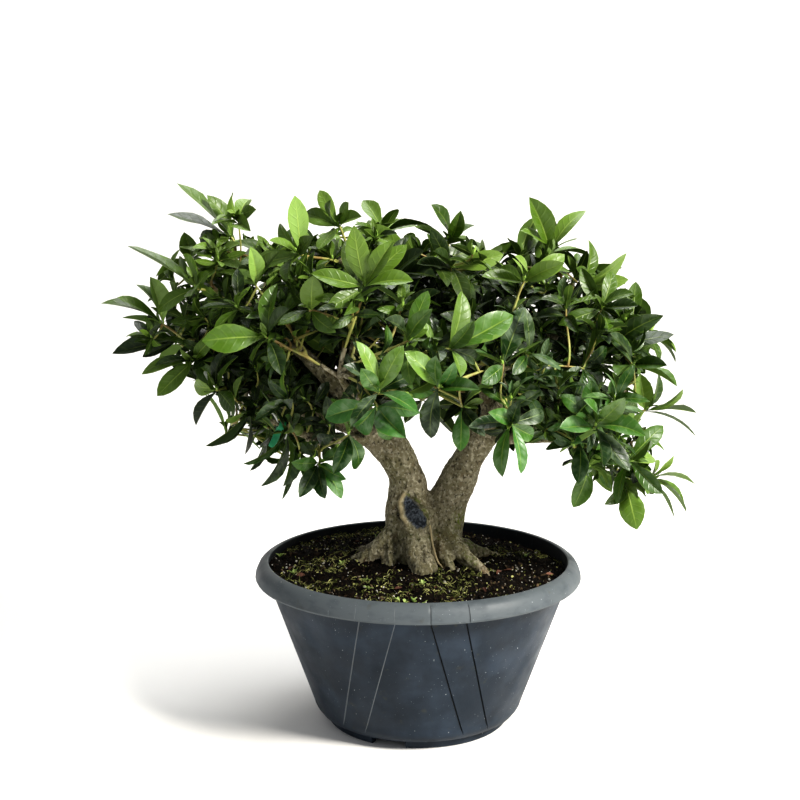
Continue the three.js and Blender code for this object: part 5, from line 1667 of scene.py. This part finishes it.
    def plant(self, name: str, leaves: list[Grown], stem: Shape, buds: Shape, *nodes: str) -> None:
        """Make one piece of leaves, stems and buds, each with its own material.

        Args:
            name: the piece's name.
            leaves: shapes of leaves, each with the number of every face's material.
            stem: the stems.
            buds: the buds.
            nodes: the solids that the piece stands for.
        """
        shapes = [shape for shape, _ in leaves] + [stem, buds]
        sides = [side for _, side in leaves]
        which = np.concatenate([*sides, np.full(len(stem.faces), STEM), np.full(len(buds.faces), BUD)])
        make_piece(name, join(shapes), self.materials, nodes, sharp=60, which=which)

    def shoot(self, name: str, number: int) -> None:
        """Rebuild one shoot: its own leaves where they are, its stem, and new growth at its ends.

        Args:
            name: the node of its solid.
            number: its place among the shoots, which seeds its draws.
        """
        rng = np.random.default_rng(7000 + number)
        solid = node_shape(name)
        found = find_leaves(solid)
        leaves = self.own_leaves(rng, solid, found)
        stem = self.stem_shape(solid, found)
        self.stems.append(stem.points)
        bare = solid.points[~found.used]
        self.starts.append(bare[np.argsort(np.linalg.norm(bare - FORK, axis=1))[:4]])
        # leaves whose feet are close together make one rosette
        label = np.argmax(distances(leaves.foot, leaves.foot) < ROSETTE_REACH, axis=1)
        groups = [label == group for group in np.unique(label)]
        centre = np.array([leaves.foot[group].mean(axis=0) for group in groups])
        spans = unit(leaves.tip - leaves.foot)
        along = unit(np.array([spans[group].mean(axis=0) for group in groups]) + [0, -0.1, 0.25])
        self.rosettes.append(np.hstack([centre, along]))
        young = self.rosette_leaves(rng, centre, along, YOUNG_WHORL)
        young.looks[:, 1] = np.clip(young.looks[:, 1] + rng.uniform(0.1, 0.4, len(young.foot)), 0, 1)
        grown = [(group.shape(rng), group.which()) for group in (leaves, young)]
        buds = self.buds(centre + along * 1.5, along)
        self.plant(f"leaves_{name.removeprefix('shoot_')}", grown, stem, buds, name)

    def build(self) -> None:
        """Build all the shoots."""
        finish = self.finish
        self.materials = [finish.upper(), finish.lower(), finish.young_stem(), finish.bud()]
        names = sorted(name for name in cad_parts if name.startswith("shoot_"))
        for number, name in enumerate(names):
            self.shoot(name, number)


# The crown's outline as the viewer sees it, as x and z. Between the limbs only the solids' leaves hang low.
CROWN_TOP = np.array([
    (-280, 380), (-235, 402), (-215, 440), (-170, 460), (-128, 440), (-100, 458), (-35, 462), (-5, 448),
    (20, 460), (45, 450), (66, 428), (85, 438), (105, 458), (145, 454), (165, 421), (192, 414), (206, 368),
    (230, 356), (250, 300),
])
CROWN_BOTTOM = np.array([
    (-280, 350), (-235, 328), (-200, 308), (-165, 286), (-145, 246), (-72, 240), (-60, 290), (-10, 300),
    (45, 300), (60, 262), (88, 248), (110, 264), (130, 258), (150, 226), (200, 204), (230, 210), (250, 240),
])
# The outline's middle line and half its width.
CROWN_SIDES = (-14, 262)
# The middle of the crown's wood, which further rosettes grow out from.
HEART = np.array([5.0, 0.0, 300.0])
# Where the viewer looks into the crown, as x, z and radius: the dark hollows, and the marker tape.
HOLLOWS = np.array([(-92, 334, 30), (50, 314, 27), (64, 286, 20), (-124, 274, 23), (-108, 271, 18)])


def in_outline(points: Array, margin: float) -> Array:
    """Tell which points lie within the crown's outline as the viewer sees it.

    Args:
        points: the points.
        margin: how far inside the outline they have to be.

    Returns:
        A mark for each.
    """
    x, z = seen(points).T
    under_top = z < np.interp(x, *CROWN_TOP.T) - margin
    over_bottom = z > np.interp(x, *CROWN_BOTTOM.T) + margin
    return under_top & over_bottom & (np.abs(x - CROWN_SIDES[0]) < CROWN_SIDES[1] - margin)


def clear_of_hollows(points: Array, share: float) -> Array:
    """Whether points stay out of the viewer's way into the hollows, by a share of their radius."""
    gap = distances(seen(points), HOLLOWS[:, :2])
    return (gap > share * HOLLOWS[:, 2]).all(axis=1) | (points[:, 1] > 30)


@dataclass
class Filling:
    """Further rosettes between those of the solids, on thin stems, so that the crown is dense."""

    foliage: Foliage
    # the least distance between rosettes, and how far under the top they and their leaves stay
    spacing: float = 15.0
    tallest: float = 484.0
    headroom: float = 18.0
    pieces: int = 4
    # rosettes of the solids that are this far apart get others between them, a little further in
    between: Span = (22.0, 92.0)
    inward: Span = (-4.0, 30.0)
    # each also gets copies nearer the heart, at these shares of its distance
    copies: int = 5
    shrink: Span = (0.5, 0.96)
    # how many stand behind each hollow, and how far behind the plane through the trunk
    behind: int = 40
    backing: Span = (35.0, 105.0)

    def places(self, rng: Random) -> tuple[Array, Array]:
        """Choose where the further rosettes stand.

        Args:
            rng: the seeded source.

        Returns:
            Their places, and the way their stems run there.
        """
        known = np.vstack(self.foliage.rosettes)
        at, along = known[:, :3], known[:, 3:]
        gap = distances(at, at)
        first, second = np.nonzero(np.triu((gap > self.between[0]) & (gap < self.between[1])))
        middle = mix(at[first], at[second], rng.uniform(0.35, 0.65, (len(first), 1)))
        step = unit(HEART - middle) * rng.uniform(*self.inward, (len(middle), 1))
        spots = [middle + step + rng.normal(0, 8, middle.shape)]
        runs = [unit(along[first] + along[second] + [0, 0, 0.2] + rng.normal(0, 0.3, middle.shape))]
        again = np.tile(at, (self.copies, 1))
        shrink = rng.uniform(*self.shrink, (len(again), 1))
        spots.append(HEART + (again - HEART) * shrink + rng.normal(0, 10, again.shape))
        runs.append(unit(np.tile(along, (self.copies, 1)) + rng.normal(0, 0.4, again.shape)))
        # some stand far behind the dark hollows, so that no daylight shows through them
        hollow = np.repeat(HOLLOWS, self.behind, axis=0)
        beside = rng.uniform(-1, 1, (len(hollow), 2)) * hollow[:, 2:]
        shown = np.zeros((len(hollow), 3))
        shown[:, [0, 2]] = hollow[:, :2] + beside
        spots.append(EYE + (shown - EYE) * (1 - rng.uniform(*self.backing, (len(hollow), 1)) / EYE[1]))
        runs.append(unit(rng.normal(0, 1, shown.shape) + [0, -0.6, 0.3]))
        spots, runs = np.vstack(spots), np.vstack(runs)
        order = rng.permutation(len(spots))
        spots, runs = spots[order], runs[order]
        allowed = in_outline(spots, 5.0) & clear_of_hollows(spots, 1.0)
        allowed &= spots[:, 2] < self.tallest - self.headroom
        spots, runs = spots[allowed], runs[allowed]
        taken = at
        chosen = []
        for k, spot in enumerate(spots):
            if np.linalg.norm(taken - spot, axis=1).min() > self.spacing:
                taken = np.vstack([taken, spot])
                chosen.append(k)
        return spots[chosen], runs[chosen]

    def stems(self, rng: Random, spots: Array, runs: Array) -> tuple[Array, Array]:
        """Lead a stem to each rosette along a cubic Bézier curve, from where it leaves most smoothly.

        Args:
            rng: the seeded source.
            spots: where the rosettes stand.
            runs: the way the stems run there.

        Returns:
            The stems' paths, and their radii along them.
        """
        anchors = np.vstack([curve_through(path, 24)[8:, :3] for path in BRANCHES])
        anchors = np.vstack([anchors, np.vstack(self.foliage.stems)[::6]])
        gap = distances(spots, anchors)
        toward = unit(spots[:, None] - anchors[None])
        bend = 1 - (toward * runs[:, None]).sum(axis=2)
        start = anchors[np.argmin(gap * (1 + 0.4 * bend) + np.where(gap < 12, 60, 0), axis=1)]
        reach = np.linalg.norm(spots - start, axis=1)[:, None]
        t = np.linspace(0, 1, 9)[None, :, None]
        handle = spots - runs * reach * 0.4
        leave = start + (spots - start) * 0.3 + rng.normal(0, 0.06, spots.shape) * reach
        paths = (1 - t) ** 3 * start[:, None] + 3 * t * (1 - t) ** 2 * leave[:, None]
        paths = paths + 3 * t**2 * (1 - t) * handle[:, None] + t**3 * spots[:, None]
        return paths, mix(1.15, 0.8, t[..., 0]) * np.ones((len(spots), 1))

    def build(self) -> None:
        """Build the further rosettes in a few pieces, less leaves that hide hollows or stick out."""
        rng = np.random.default_rng(9001)
        spots, runs = self.places(rng)
        LOG.info("further rosettes: %d", len(spots))
        paths, radii = self.stems(rng, spots, runs)
        parts = np.array_split(np.arange(len(spots)), self.pieces)
        for number, part in enumerate(parts):
            grown = []
            for whorl in (FILL_WHORL, FILL_LOWER, FILL_YOUNG):
                leaves = self.foliage.rosette_leaves(rng, spots[part], runs[part], whorl)
                if whorl is FILL_YOUNG:
                    leaves.looks[:, 1] += rng.uniform(0.0, 0.3, len(leaves.foot))
                fits = clear_of_hollows((leaves.foot + leaves.tip) / 2, 0.7)
                fits &= in_outline(leaves.tip, 0.0) & (leaves.tip[:, 2] < self.tallest)
                leaves = leaves.chosen(fits)
                grown.append((leaves.shape(rng), leaves.which()))
            stems = make_tubes(paths[part], radii[part], 6)
            buds = self.foliage.buds(spots[part] + runs[part], runs[part])
            self.foliage.plant(f"filling_shoots_{number + 1}", grown, stems, buds)


# Trunk


@dataclass(frozen=True)
class BarkFinish:
    """Thin flaking azalea bark: grey-brown plates over a rusty layer, with moss in its hollows."""

    plate: str = "#78715A"
    pale: str = "#C2BCA4"
    dark: str = "#19150E"
    green: str = "#66653F"
    rust: str = "#5E3C26"
    moss: str = "#5F6B2A"
    callus: str = "#A99B78"
    sealer: str = "#20242A"
    sealer_pale: str = "#666D75"

    def build(self) -> Material:
        """Build the bark.

        Returns:
            The material.
        """
        coat = Surface("azalea_bark", self.plate, 0.8, 0.25)
        # broad stains first: a green film of algae and rusty patches where plates have come off
        coat.mottle(self.green, 30, 3, (0.42, 0.66), 0.5)
        rust = coat.math("MAXIMUM", coat.ramp(coat.noise(15, 4), 0.58, 0.76), coat.value("rusty"))
        coat.lay(self.rust, rust, 0.45)
        # then the pale flakes of plates, each a few millimetres wide, dark blotches between them, and painted
        # shade where the bark is sunk
        coat.mottle(self.pale, 7, 5, (0.5, 0.75), 0.4)
        coat.mottle(self.pale, 2.8, 6, (0.52, 0.66), 0.6, (1, 1, 1.2))
        coat.mottle(self.dark, 2.5, 5, (0.53, 0.66), 0.75, (1, 1, 1.3))
        # painted shade: dark where the relief value is low, between the ridges and in the cleft, the seam and
        # the pit
        coat.lay(self.dark, coat.ramp(coat.value("relief"), -0.1, -0.9), 0.9)
        coat.lay(self.pale, coat.specks(3.0, 0.17), 0.75)
        coat.lay(self.callus, coat.value("callus"))
        coat.lay(self.moss, coat.times(coat.value("moss"), coat.ramp(coat.noise(3, 5), 0.45, 0.58)))
        coat.lay(self.sealer, coat.value("sealed"))
        chalk = coat.times(coat.value("sealed"), coat.ramp(coat.noise(2.5, 5), 0.44, 0.62))
        coat.lay(self.sealer_pale, chalk, 0.6)
        coat.grain(2.3, 6, 1.1, 1.0, (1, 1, 1.3))
        return coat.done()


@dataclass
class Trunk:
    """The trunk, its limbs, roots and branches as one grown skin, with the twigs of the shoots."""

    # the first points of each shoot, where it leaves the wood
    starts: list[Array]
    voxel: float = 1.45
    # the cells of the ridges, which are narrow round the trunk and long up it, and of the flakes
    ridge_cell: Triple = (9.0, 9.0, 42.0)
    flake_cell: Triple = (3.0, 3.0, 4.4)
    finish: BarkFinish = BarkFinish()

    def core(self) -> Shape:
        """Melt all the thick wood into one skin by a voxel grid.

        Returns:
            The skin.
        """
        tubes = []
        for path in [*LIMBS, SCAR, *ROOTS, *SWELLINGS, *BRANCHES]:
            line = curve_through(path, 8 * (len(path) - 1) + 1)
            tubes.append(make_tubes(line[None, :, :3], line[None, :, 3], 24))
        return evaluated(join(tubes), "REMESH", mode="VOXEL", voxel_size=self.voxel * MM)

    def grown(self, shape: Shape) -> Shape:
        """Smooth the skin, then raise ridges that run up it and sink the hollows between them.

        Args:
            shape: the skin.

        Returns:
            The bark, with the values that its finish reads.
        """
        points = shape.points
        for _ in range(3):
            points = mix(points, neighbour_mean(shape, points), 0.6)
        shape = Shape(points, shape.faces)
        normal = vertex_normals(shape)
        thick = smooth(np.abs(points[:, 0] - 8), 110, 40) * smooth(points[:, 2], 330, 270)
        # the ridges sway from side to side on their way up
        swirl = points.copy()
        swirl[:, 0] += 4 * np.sin(points[:, 2] * 0.05)
        ridge = 1 - 2 * np.abs(lattice_noise(swirl, self.ridge_cell, 11))
        small = lattice_noise(swirl, self.flake_cell, 12)
        fine = lattice_noise(points, 2.2, 13)
        lumps = lattice_noise(points, 20.0, 14)
        ridged = thick * mix(0.5, 1.5, smooth(points[:, 2], 200, 165))
        relief = ridged * ridge + thick * 1.8 * lumps + (0.3 + 0.4 * thick) * small + 0.25 * fine
        cut = self.cut(points)
        # the cut is sunk flat, with a swollen lip and a cleft on its left and a seam on its right
        relief = relief * mix(1.0, 0.3, cut["sealed"]) - 1.6 * cut["sealed"] + 2.6 * cut["lip"]
        relief -= 2.4 * cut["cleft"] + 1.6 * cut["seam"] + 3.5 * cut["hollow"]
        shape.points = points + normal * (relief - 0.5 * thick)[:, None]
        up_facing = smooth(normal[:, 2], 0.0, 0.7)
        moss = smooth(lattice_noise(points, 15.0, 15), 0.05, 0.6) * (0.25 + 0.75 * up_facing)
        low = smooth(points[:, 2], 215, 150) * smooth(points[:, 0], -30, 40)
        # the relief value sinks in the cleft, the seam and the pit, which the finish paints dark as shade
        sunk = 1.3 * cut["cleft"] + 0.8 * cut["seam"] + 1.3 * cut["hollow"]
        shape.with_values(
            relief=np.clip(ridge * ridged * 0.6 + small * 0.5 - sunk, -1, 1),
            moss=np.clip(moss * (0.2 + low) * 0.7 + cut["seam"] + self.patch(points, MOSSY), 0, 1),
            callus=cut["lip"] * 0.85,
            sealed=cut["sealed"],
            rusty=cut["rusty"],
        )
        return shape

    def patch(self, points: Array, mark: tuple[float, ...]) -> Array:
        """How strongly a mark on the front shows at each point."""
        x, z, wide, high = mark
        return bell((points[:, 0] - x) / wide, (points[:, 2] - z) / high)

    def cut(self, points: Array) -> dict[str, Array]:
        """Marks from 0 to 1 on the front: the cut's painted face, its lip, its seams and stains.

        A point is in the face when a line to its right crosses the edge an odd number of times.

        Args:
            points: the trunk's points.

        Returns:
            A mark for each point under the name of what it shows.
        """
        x, z = points[:, 0], points[:, 2]
        span = np.roll(CUT_EDGE, -1, axis=0) - CUT_EDGE
        rel = points[:, None, [0, 2]] - CUT_EDGE
        share = np.clip((rel * span).sum(axis=2) / (span * span).sum(axis=1), 0, 1)
        distance = np.linalg.norm(rel - share[..., None] * span, axis=2).min(axis=1)
        over = rel[..., 1] < 0
        crossed = (over != np.roll(over, -1, axis=1)) & (rel[..., 0] < rel[..., 1] * span[:, 0] / span[:, 1])
        distance = np.where(crossed.sum(axis=1) % 2 == 1, -distance, distance)
        distance = distance + 0.9 * lattice_noise(points, 5.0, 21)
        front = smooth(points[:, 1], -12, -19)
        left = smooth(x, -8, -13) * smooth(z, 180, 187) * smooth(z, 220, 213)
        upper = smooth(0.62 * (x - CUT_MIDDLE[0]) + 0.78 * (z - CUT_MIDDLE[1]), 2, 8)

        def band(centre: float, width: float) -> Array:
            """How near each point is to a line that runs round the face at a distance."""
            return bell((distance - centre) / width) * front

        return {
            "sealed": smooth(distance, 0.7, -0.7) * front,
            "lip": band(2.6, 1.7) * left,
            "cleft": band(6.8, 1.6) * left * smooth(z, 188, 196),
            "seam": band(1.6, 1.4) * upper * (1 - left),
            "hollow": self.patch(points, PIT) * smooth(points[:, 1], -4, -12),
            "rusty": sum(self.patch(points, mark) for mark in RUST),
        }

    def thread(self, wood: Array) -> Shape:
        """Lay the thin dead root on the foremost points of the wood.

        Args:
            wood: the points of the bark.

        Returns:
            The root.
        """
        path = np.zeros((1, 14, 3))
        path[0, :, [0, 2]] = curve_through(THREAD, 14).T
        for place in path[0]:
            near = np.hypot(wood[:, 0] - place[0], wood[:, 2] - place[2]) < 2.5
            place[1] = wood[near, 1].min() if near.any() else -45.0
        path[0, 1:-1, 1] = (path[0, :-2, 1] + path[0, 1:-1, 1] + path[0, 2:, 1]) / 3
        return make_tubes(path, np.full((1, 14), 0.9), 8).with_values(relief=0.3, callus=1.0)

    def twigs(self) -> Shape:
        """Shape the woody start of each shoot along a quadratic Bézier curve out of its branch.

        Returns:
            The twigs in one shape.
        """
        wood = node_shape("trunk").points
        line = np.vstack([curve_through(path, 40)[:, :3] for path in BRANCHES])
        paths = []
        for start in self.starts:
            cap = wood[np.argsort(distances(wood, start).min(axis=1))[:4]].mean(axis=0)
            run = unit(start.mean(axis=0) - cap)
            span = line - cap
            reach = np.linalg.norm(span, axis=1)
            cost = reach * (1 + 1.5 * (1 + (span @ run) / np.maximum(reach, 1e-6)))
            root = line[np.argmin(cost)]
            t = np.linspace(0, 1, 8)[:, None]
            handle = cap - run * np.linalg.norm(cap - root) * 0.4
            paths.append((1 - t) ** 2 * root + 2 * t * (1 - t) * handle + t**2 * (cap + run * 2.2))
        radii = np.array([2.6, 2.2, 2.0, 1.9, 1.85, 1.8, 1.9, 1.75])
        shape = make_tubes(np.array(paths), np.broadcast_to(radii, (len(paths), 8)), 8)
        return shape.with_values(relief=0.2)

    def build(self) -> None:
        """Build the trunk."""
        wood = self.grown(self.core())
        shape = join([wood, self.twigs(), self.thread(wood.points)])
        make_piece("trunk_wood", shape, [self.finish.build()], ("trunk",), sharp=180)


# Marker tape

# The twine's two strands, as points along each, and the gall on the twig, a ball.
TWINE = (
    ((-121, -71, 289), (-123, -73, 295), (-126, -75, 299), (-130, -76, 302)),
    ((-119, -66, 288), (-115, -73, 286), (-113, -76, 281), (-115, -74, 276)),
)
TWINE_RADIUS = 0.75
GALL_MIDDLE = (-105.0, -70.0, 283.5)
GALL_RADIUS = 5.6


@dataclass(frozen=True)
class TapeFinish:
    """Polythene nursery tape, thin, smooth and creased, its twine, and the gall beside them."""

    green: str = "#1F8A5C"
    dark: str = "#146046"
    twine: str = "#D9DCD6"
    twine_dark: str = "#A9AEA4"
    gall: str = "#5E7434"
    gall_pale: str = "#8DA35A"
    gall_dark: str = "#3C4A20"

    def build(self) -> Material:
        """Build the tape's material."""
        coat = Surface("polythene_tape", self.green, 0.4, 0.5).mottle(self.dark, 5, 3, (0.45, 0.7), 0.5)
        return coat.grain(3, 2, 0.4, 0.6, (1, 1, 3)).done()

    def cord(self) -> Material:
        """Build the twine's material: twisted fibres, a little glossy."""
        coat = Surface("polythene_twine", self.twine, 0.45, 0.4)
        return coat.mottle(self.twine_dark, 2, 3, (0.45, 0.7), 1.0, (1, 1, 4)).grain(0.8, 2, 0.2, 0.7).done()

    def gall_skin(self) -> Material:
        """Build the gall's material: fleshy and green, with paler and darker mottling."""
        coat = Surface("leaf_gall", self.gall, 0.45, 0.45).mottle(self.gall_pale, 4, 3, (0.45, 0.7), 0.6)
        return coat.mottle(self.gall_dark, 2, 4, (0.55, 0.72), 0.6).grain(1.4, 3, 0.4, 0.7).done()


@dataclass
class MarkerTape:
    """The strip that was looped round a twig to mark the plant, and its tie."""

    finish: TapeFinish = TapeFinish()

    def build(self) -> None:
        """Build the tape from its solid, with its faces divided so that it can crease."""
        shape = evaluated(node_shape("marker_tape"), "SUBSURF", levels=2, subdivision_type="SIMPLE")
        for _ in range(2):
            shape.points = mix(shape.points, neighbour_mean(shape, shape.points), 0.4)
        shape.points += 0.5 * lattice_noise(shape.points, 7.0, 31)[:, None] * np.array([1.0, 0.4, 0])
        make_piece("tape_strip", shape, [self.finish.build()], ("marker_tape",), sharp=60)
        self.tie()
        self.gall()

    def tie(self) -> None:
        """The white twine that holds the tape: a strand up from it and a loop round the twig."""
        strands = np.array([curve_through(path, 20) for path in TWINE])
        shape = make_tubes(strands, np.full(strands.shape[:2], TWINE_RADIUS), 8)
        make_piece("tape_twine", shape, [self.finish.cord()])

    def gall(self) -> None:
        """The round green gall that has grown on the twig beside the tape."""
        turns = np.linspace(0, 2 * np.pi, 24, endpoint=False)
        rise = np.linspace(-np.pi / 2, np.pi / 2, 15)[1:-1, None]
        x, y = np.cos(rise) * np.cos(turns), np.cos(rise) * np.sin(turns)
        ball = np.stack([x, y, np.broadcast_to(np.sin(rise), x.shape)], axis=-1).reshape(-1, 3)
        faces = capped(np.arange(x.size).reshape(x.shape), x.size)
        ball = np.vstack([ball, [[0, 0, -1], [0, 0, 1]]])
        size = GALL_RADIUS * (1 + 0.05 * lattice_noise(ball, 0.6, 41))
        shape = Shape(np.array(GALL_MIDDLE) + ball * size[:, None], faces)
        make_piece("twig_gall", shape, [self.finish.gall_skin()])


# Studio


@dataclass(frozen=True)
class Lamp:
    """A square lamp that looks at the tree, in metres and watts."""

    name: str
    place: Triple
    size: float
    power: float
    tint: str

    def build(self) -> None:
        """Add the lamp."""
        data = bpy.data.lights.new(self.name, "AREA")
        data.size = self.size
        data.energy = self.power
        data.color = linear(self.tint)[:3]
        lamp = enter(self.name, data)
        lamp.location = self.place
        aim = np.array(TREE_MIDDLE) - np.array(self.place)
        yaw = math.atan2(aim[0], -aim[1])
        tilt = math.atan2(math.hypot(aim[0], aim[1]), -aim[2])
        lamp.rotation_euler = (tilt, 0, yaw + math.pi)


TREE_MIDDLE = (0, 0, 0.25)
LAMPS = (
    Lamp("key", (1.7, -1.2, 1.7), 0.6, 118, "#FFFBF4"),
    Lamp("fill", (-1.7, -1.3, 0.9), 1.6, 2, "#F0F5FF"),
    Lamp("top", (0.2, 0.7, 2.1), 1.4, 36, "#FFFFFF"),
)


@dataclass
class Studio:
    """The camera, a pale floor that runs up into a backdrop, and soft lamps."""

    pitch: float = 9.1
    lens: float = 60.21
    floor: str = "#F2F1EE"
    floor_cloud: str = "#E9E8E5"
    sky: str = "#F4F6FA"
    sky_power: float = 0.36
    # the floor: half its width, its front edge, where and how it bends up, and the wall's top
    half_width: float = 3500.0
    front: float = -2600.0
    bend_start: float = 1500.0
    bend: float = 900.0
    wall_top: float = 3600.0

    def backdrop(self) -> None:
        """Add the floor, which bends up into a wall behind."""
        turn = np.linspace(0, np.pi / 2, 16)
        y = self.bend_start + self.bend * np.sin(turn)
        y = np.concatenate([[self.front], y, [self.bend_start + self.bend]])
        z = np.concatenate([[0], self.bend - self.bend * np.cos(turn), [self.wall_top]])
        x = np.array([-self.half_width, self.half_width])
        points = np.stack(np.broadcast_arrays(x[None], y[:, None], z[:, None]), axis=-1)
        index = np.arange(len(y) * 2).reshape(-1, 2)
        mesh = make_mesh("studio_floor", Shape(points.reshape(-1, 3), quads(index)), 180)
        coat = Surface("studio_paper", self.floor, 0.9, 0.1)
        coat.lay(self.floor_cloud, coat.ramp(coat.noise(900, 2), 0.4, 0.8))
        mesh.materials.append(coat.done())
        enter("studio_floor", mesh)

    def build(self) -> None:
        """Build the camera, the backdrop and the lamps."""
        scene = bpy.context.scene
        data = bpy.data.cameras.new("camera")
        data.lens = self.lens
        data.sensor_width = 36
        camera = enter("camera", data)
        camera.location = EYE * MM
        camera.rotation_euler = (math.radians(90 - self.pitch), 0, 0)
        scene.camera = camera
        self.backdrop()
        for lamp in LAMPS:
            lamp.build()
        world = bpy.data.worlds.new("world")
        world.use_nodes = True
        background = world.node_tree.nodes["Background"]
        background.inputs["Color"].default_value = linear(self.sky)
        background.inputs["Strength"].default_value = self.sky_power
        scene.world = world
        scene.view_settings.view_transform = "Standard"
        scene.view_settings.look = "Medium High Contrast"


def main() -> None:
    """Build the whole scene."""
    logging.basicConfig(level=logging.INFO, format="%(message)s")
    Studio().build()
    Pot().build()
    Soil().build()
    foliage = Foliage()
    foliage.build()
    Filling(foliage).build()
    Trunk(foliage.starts).build()
    MarkerTape().build()


if __name__ == "__main__":
    main()
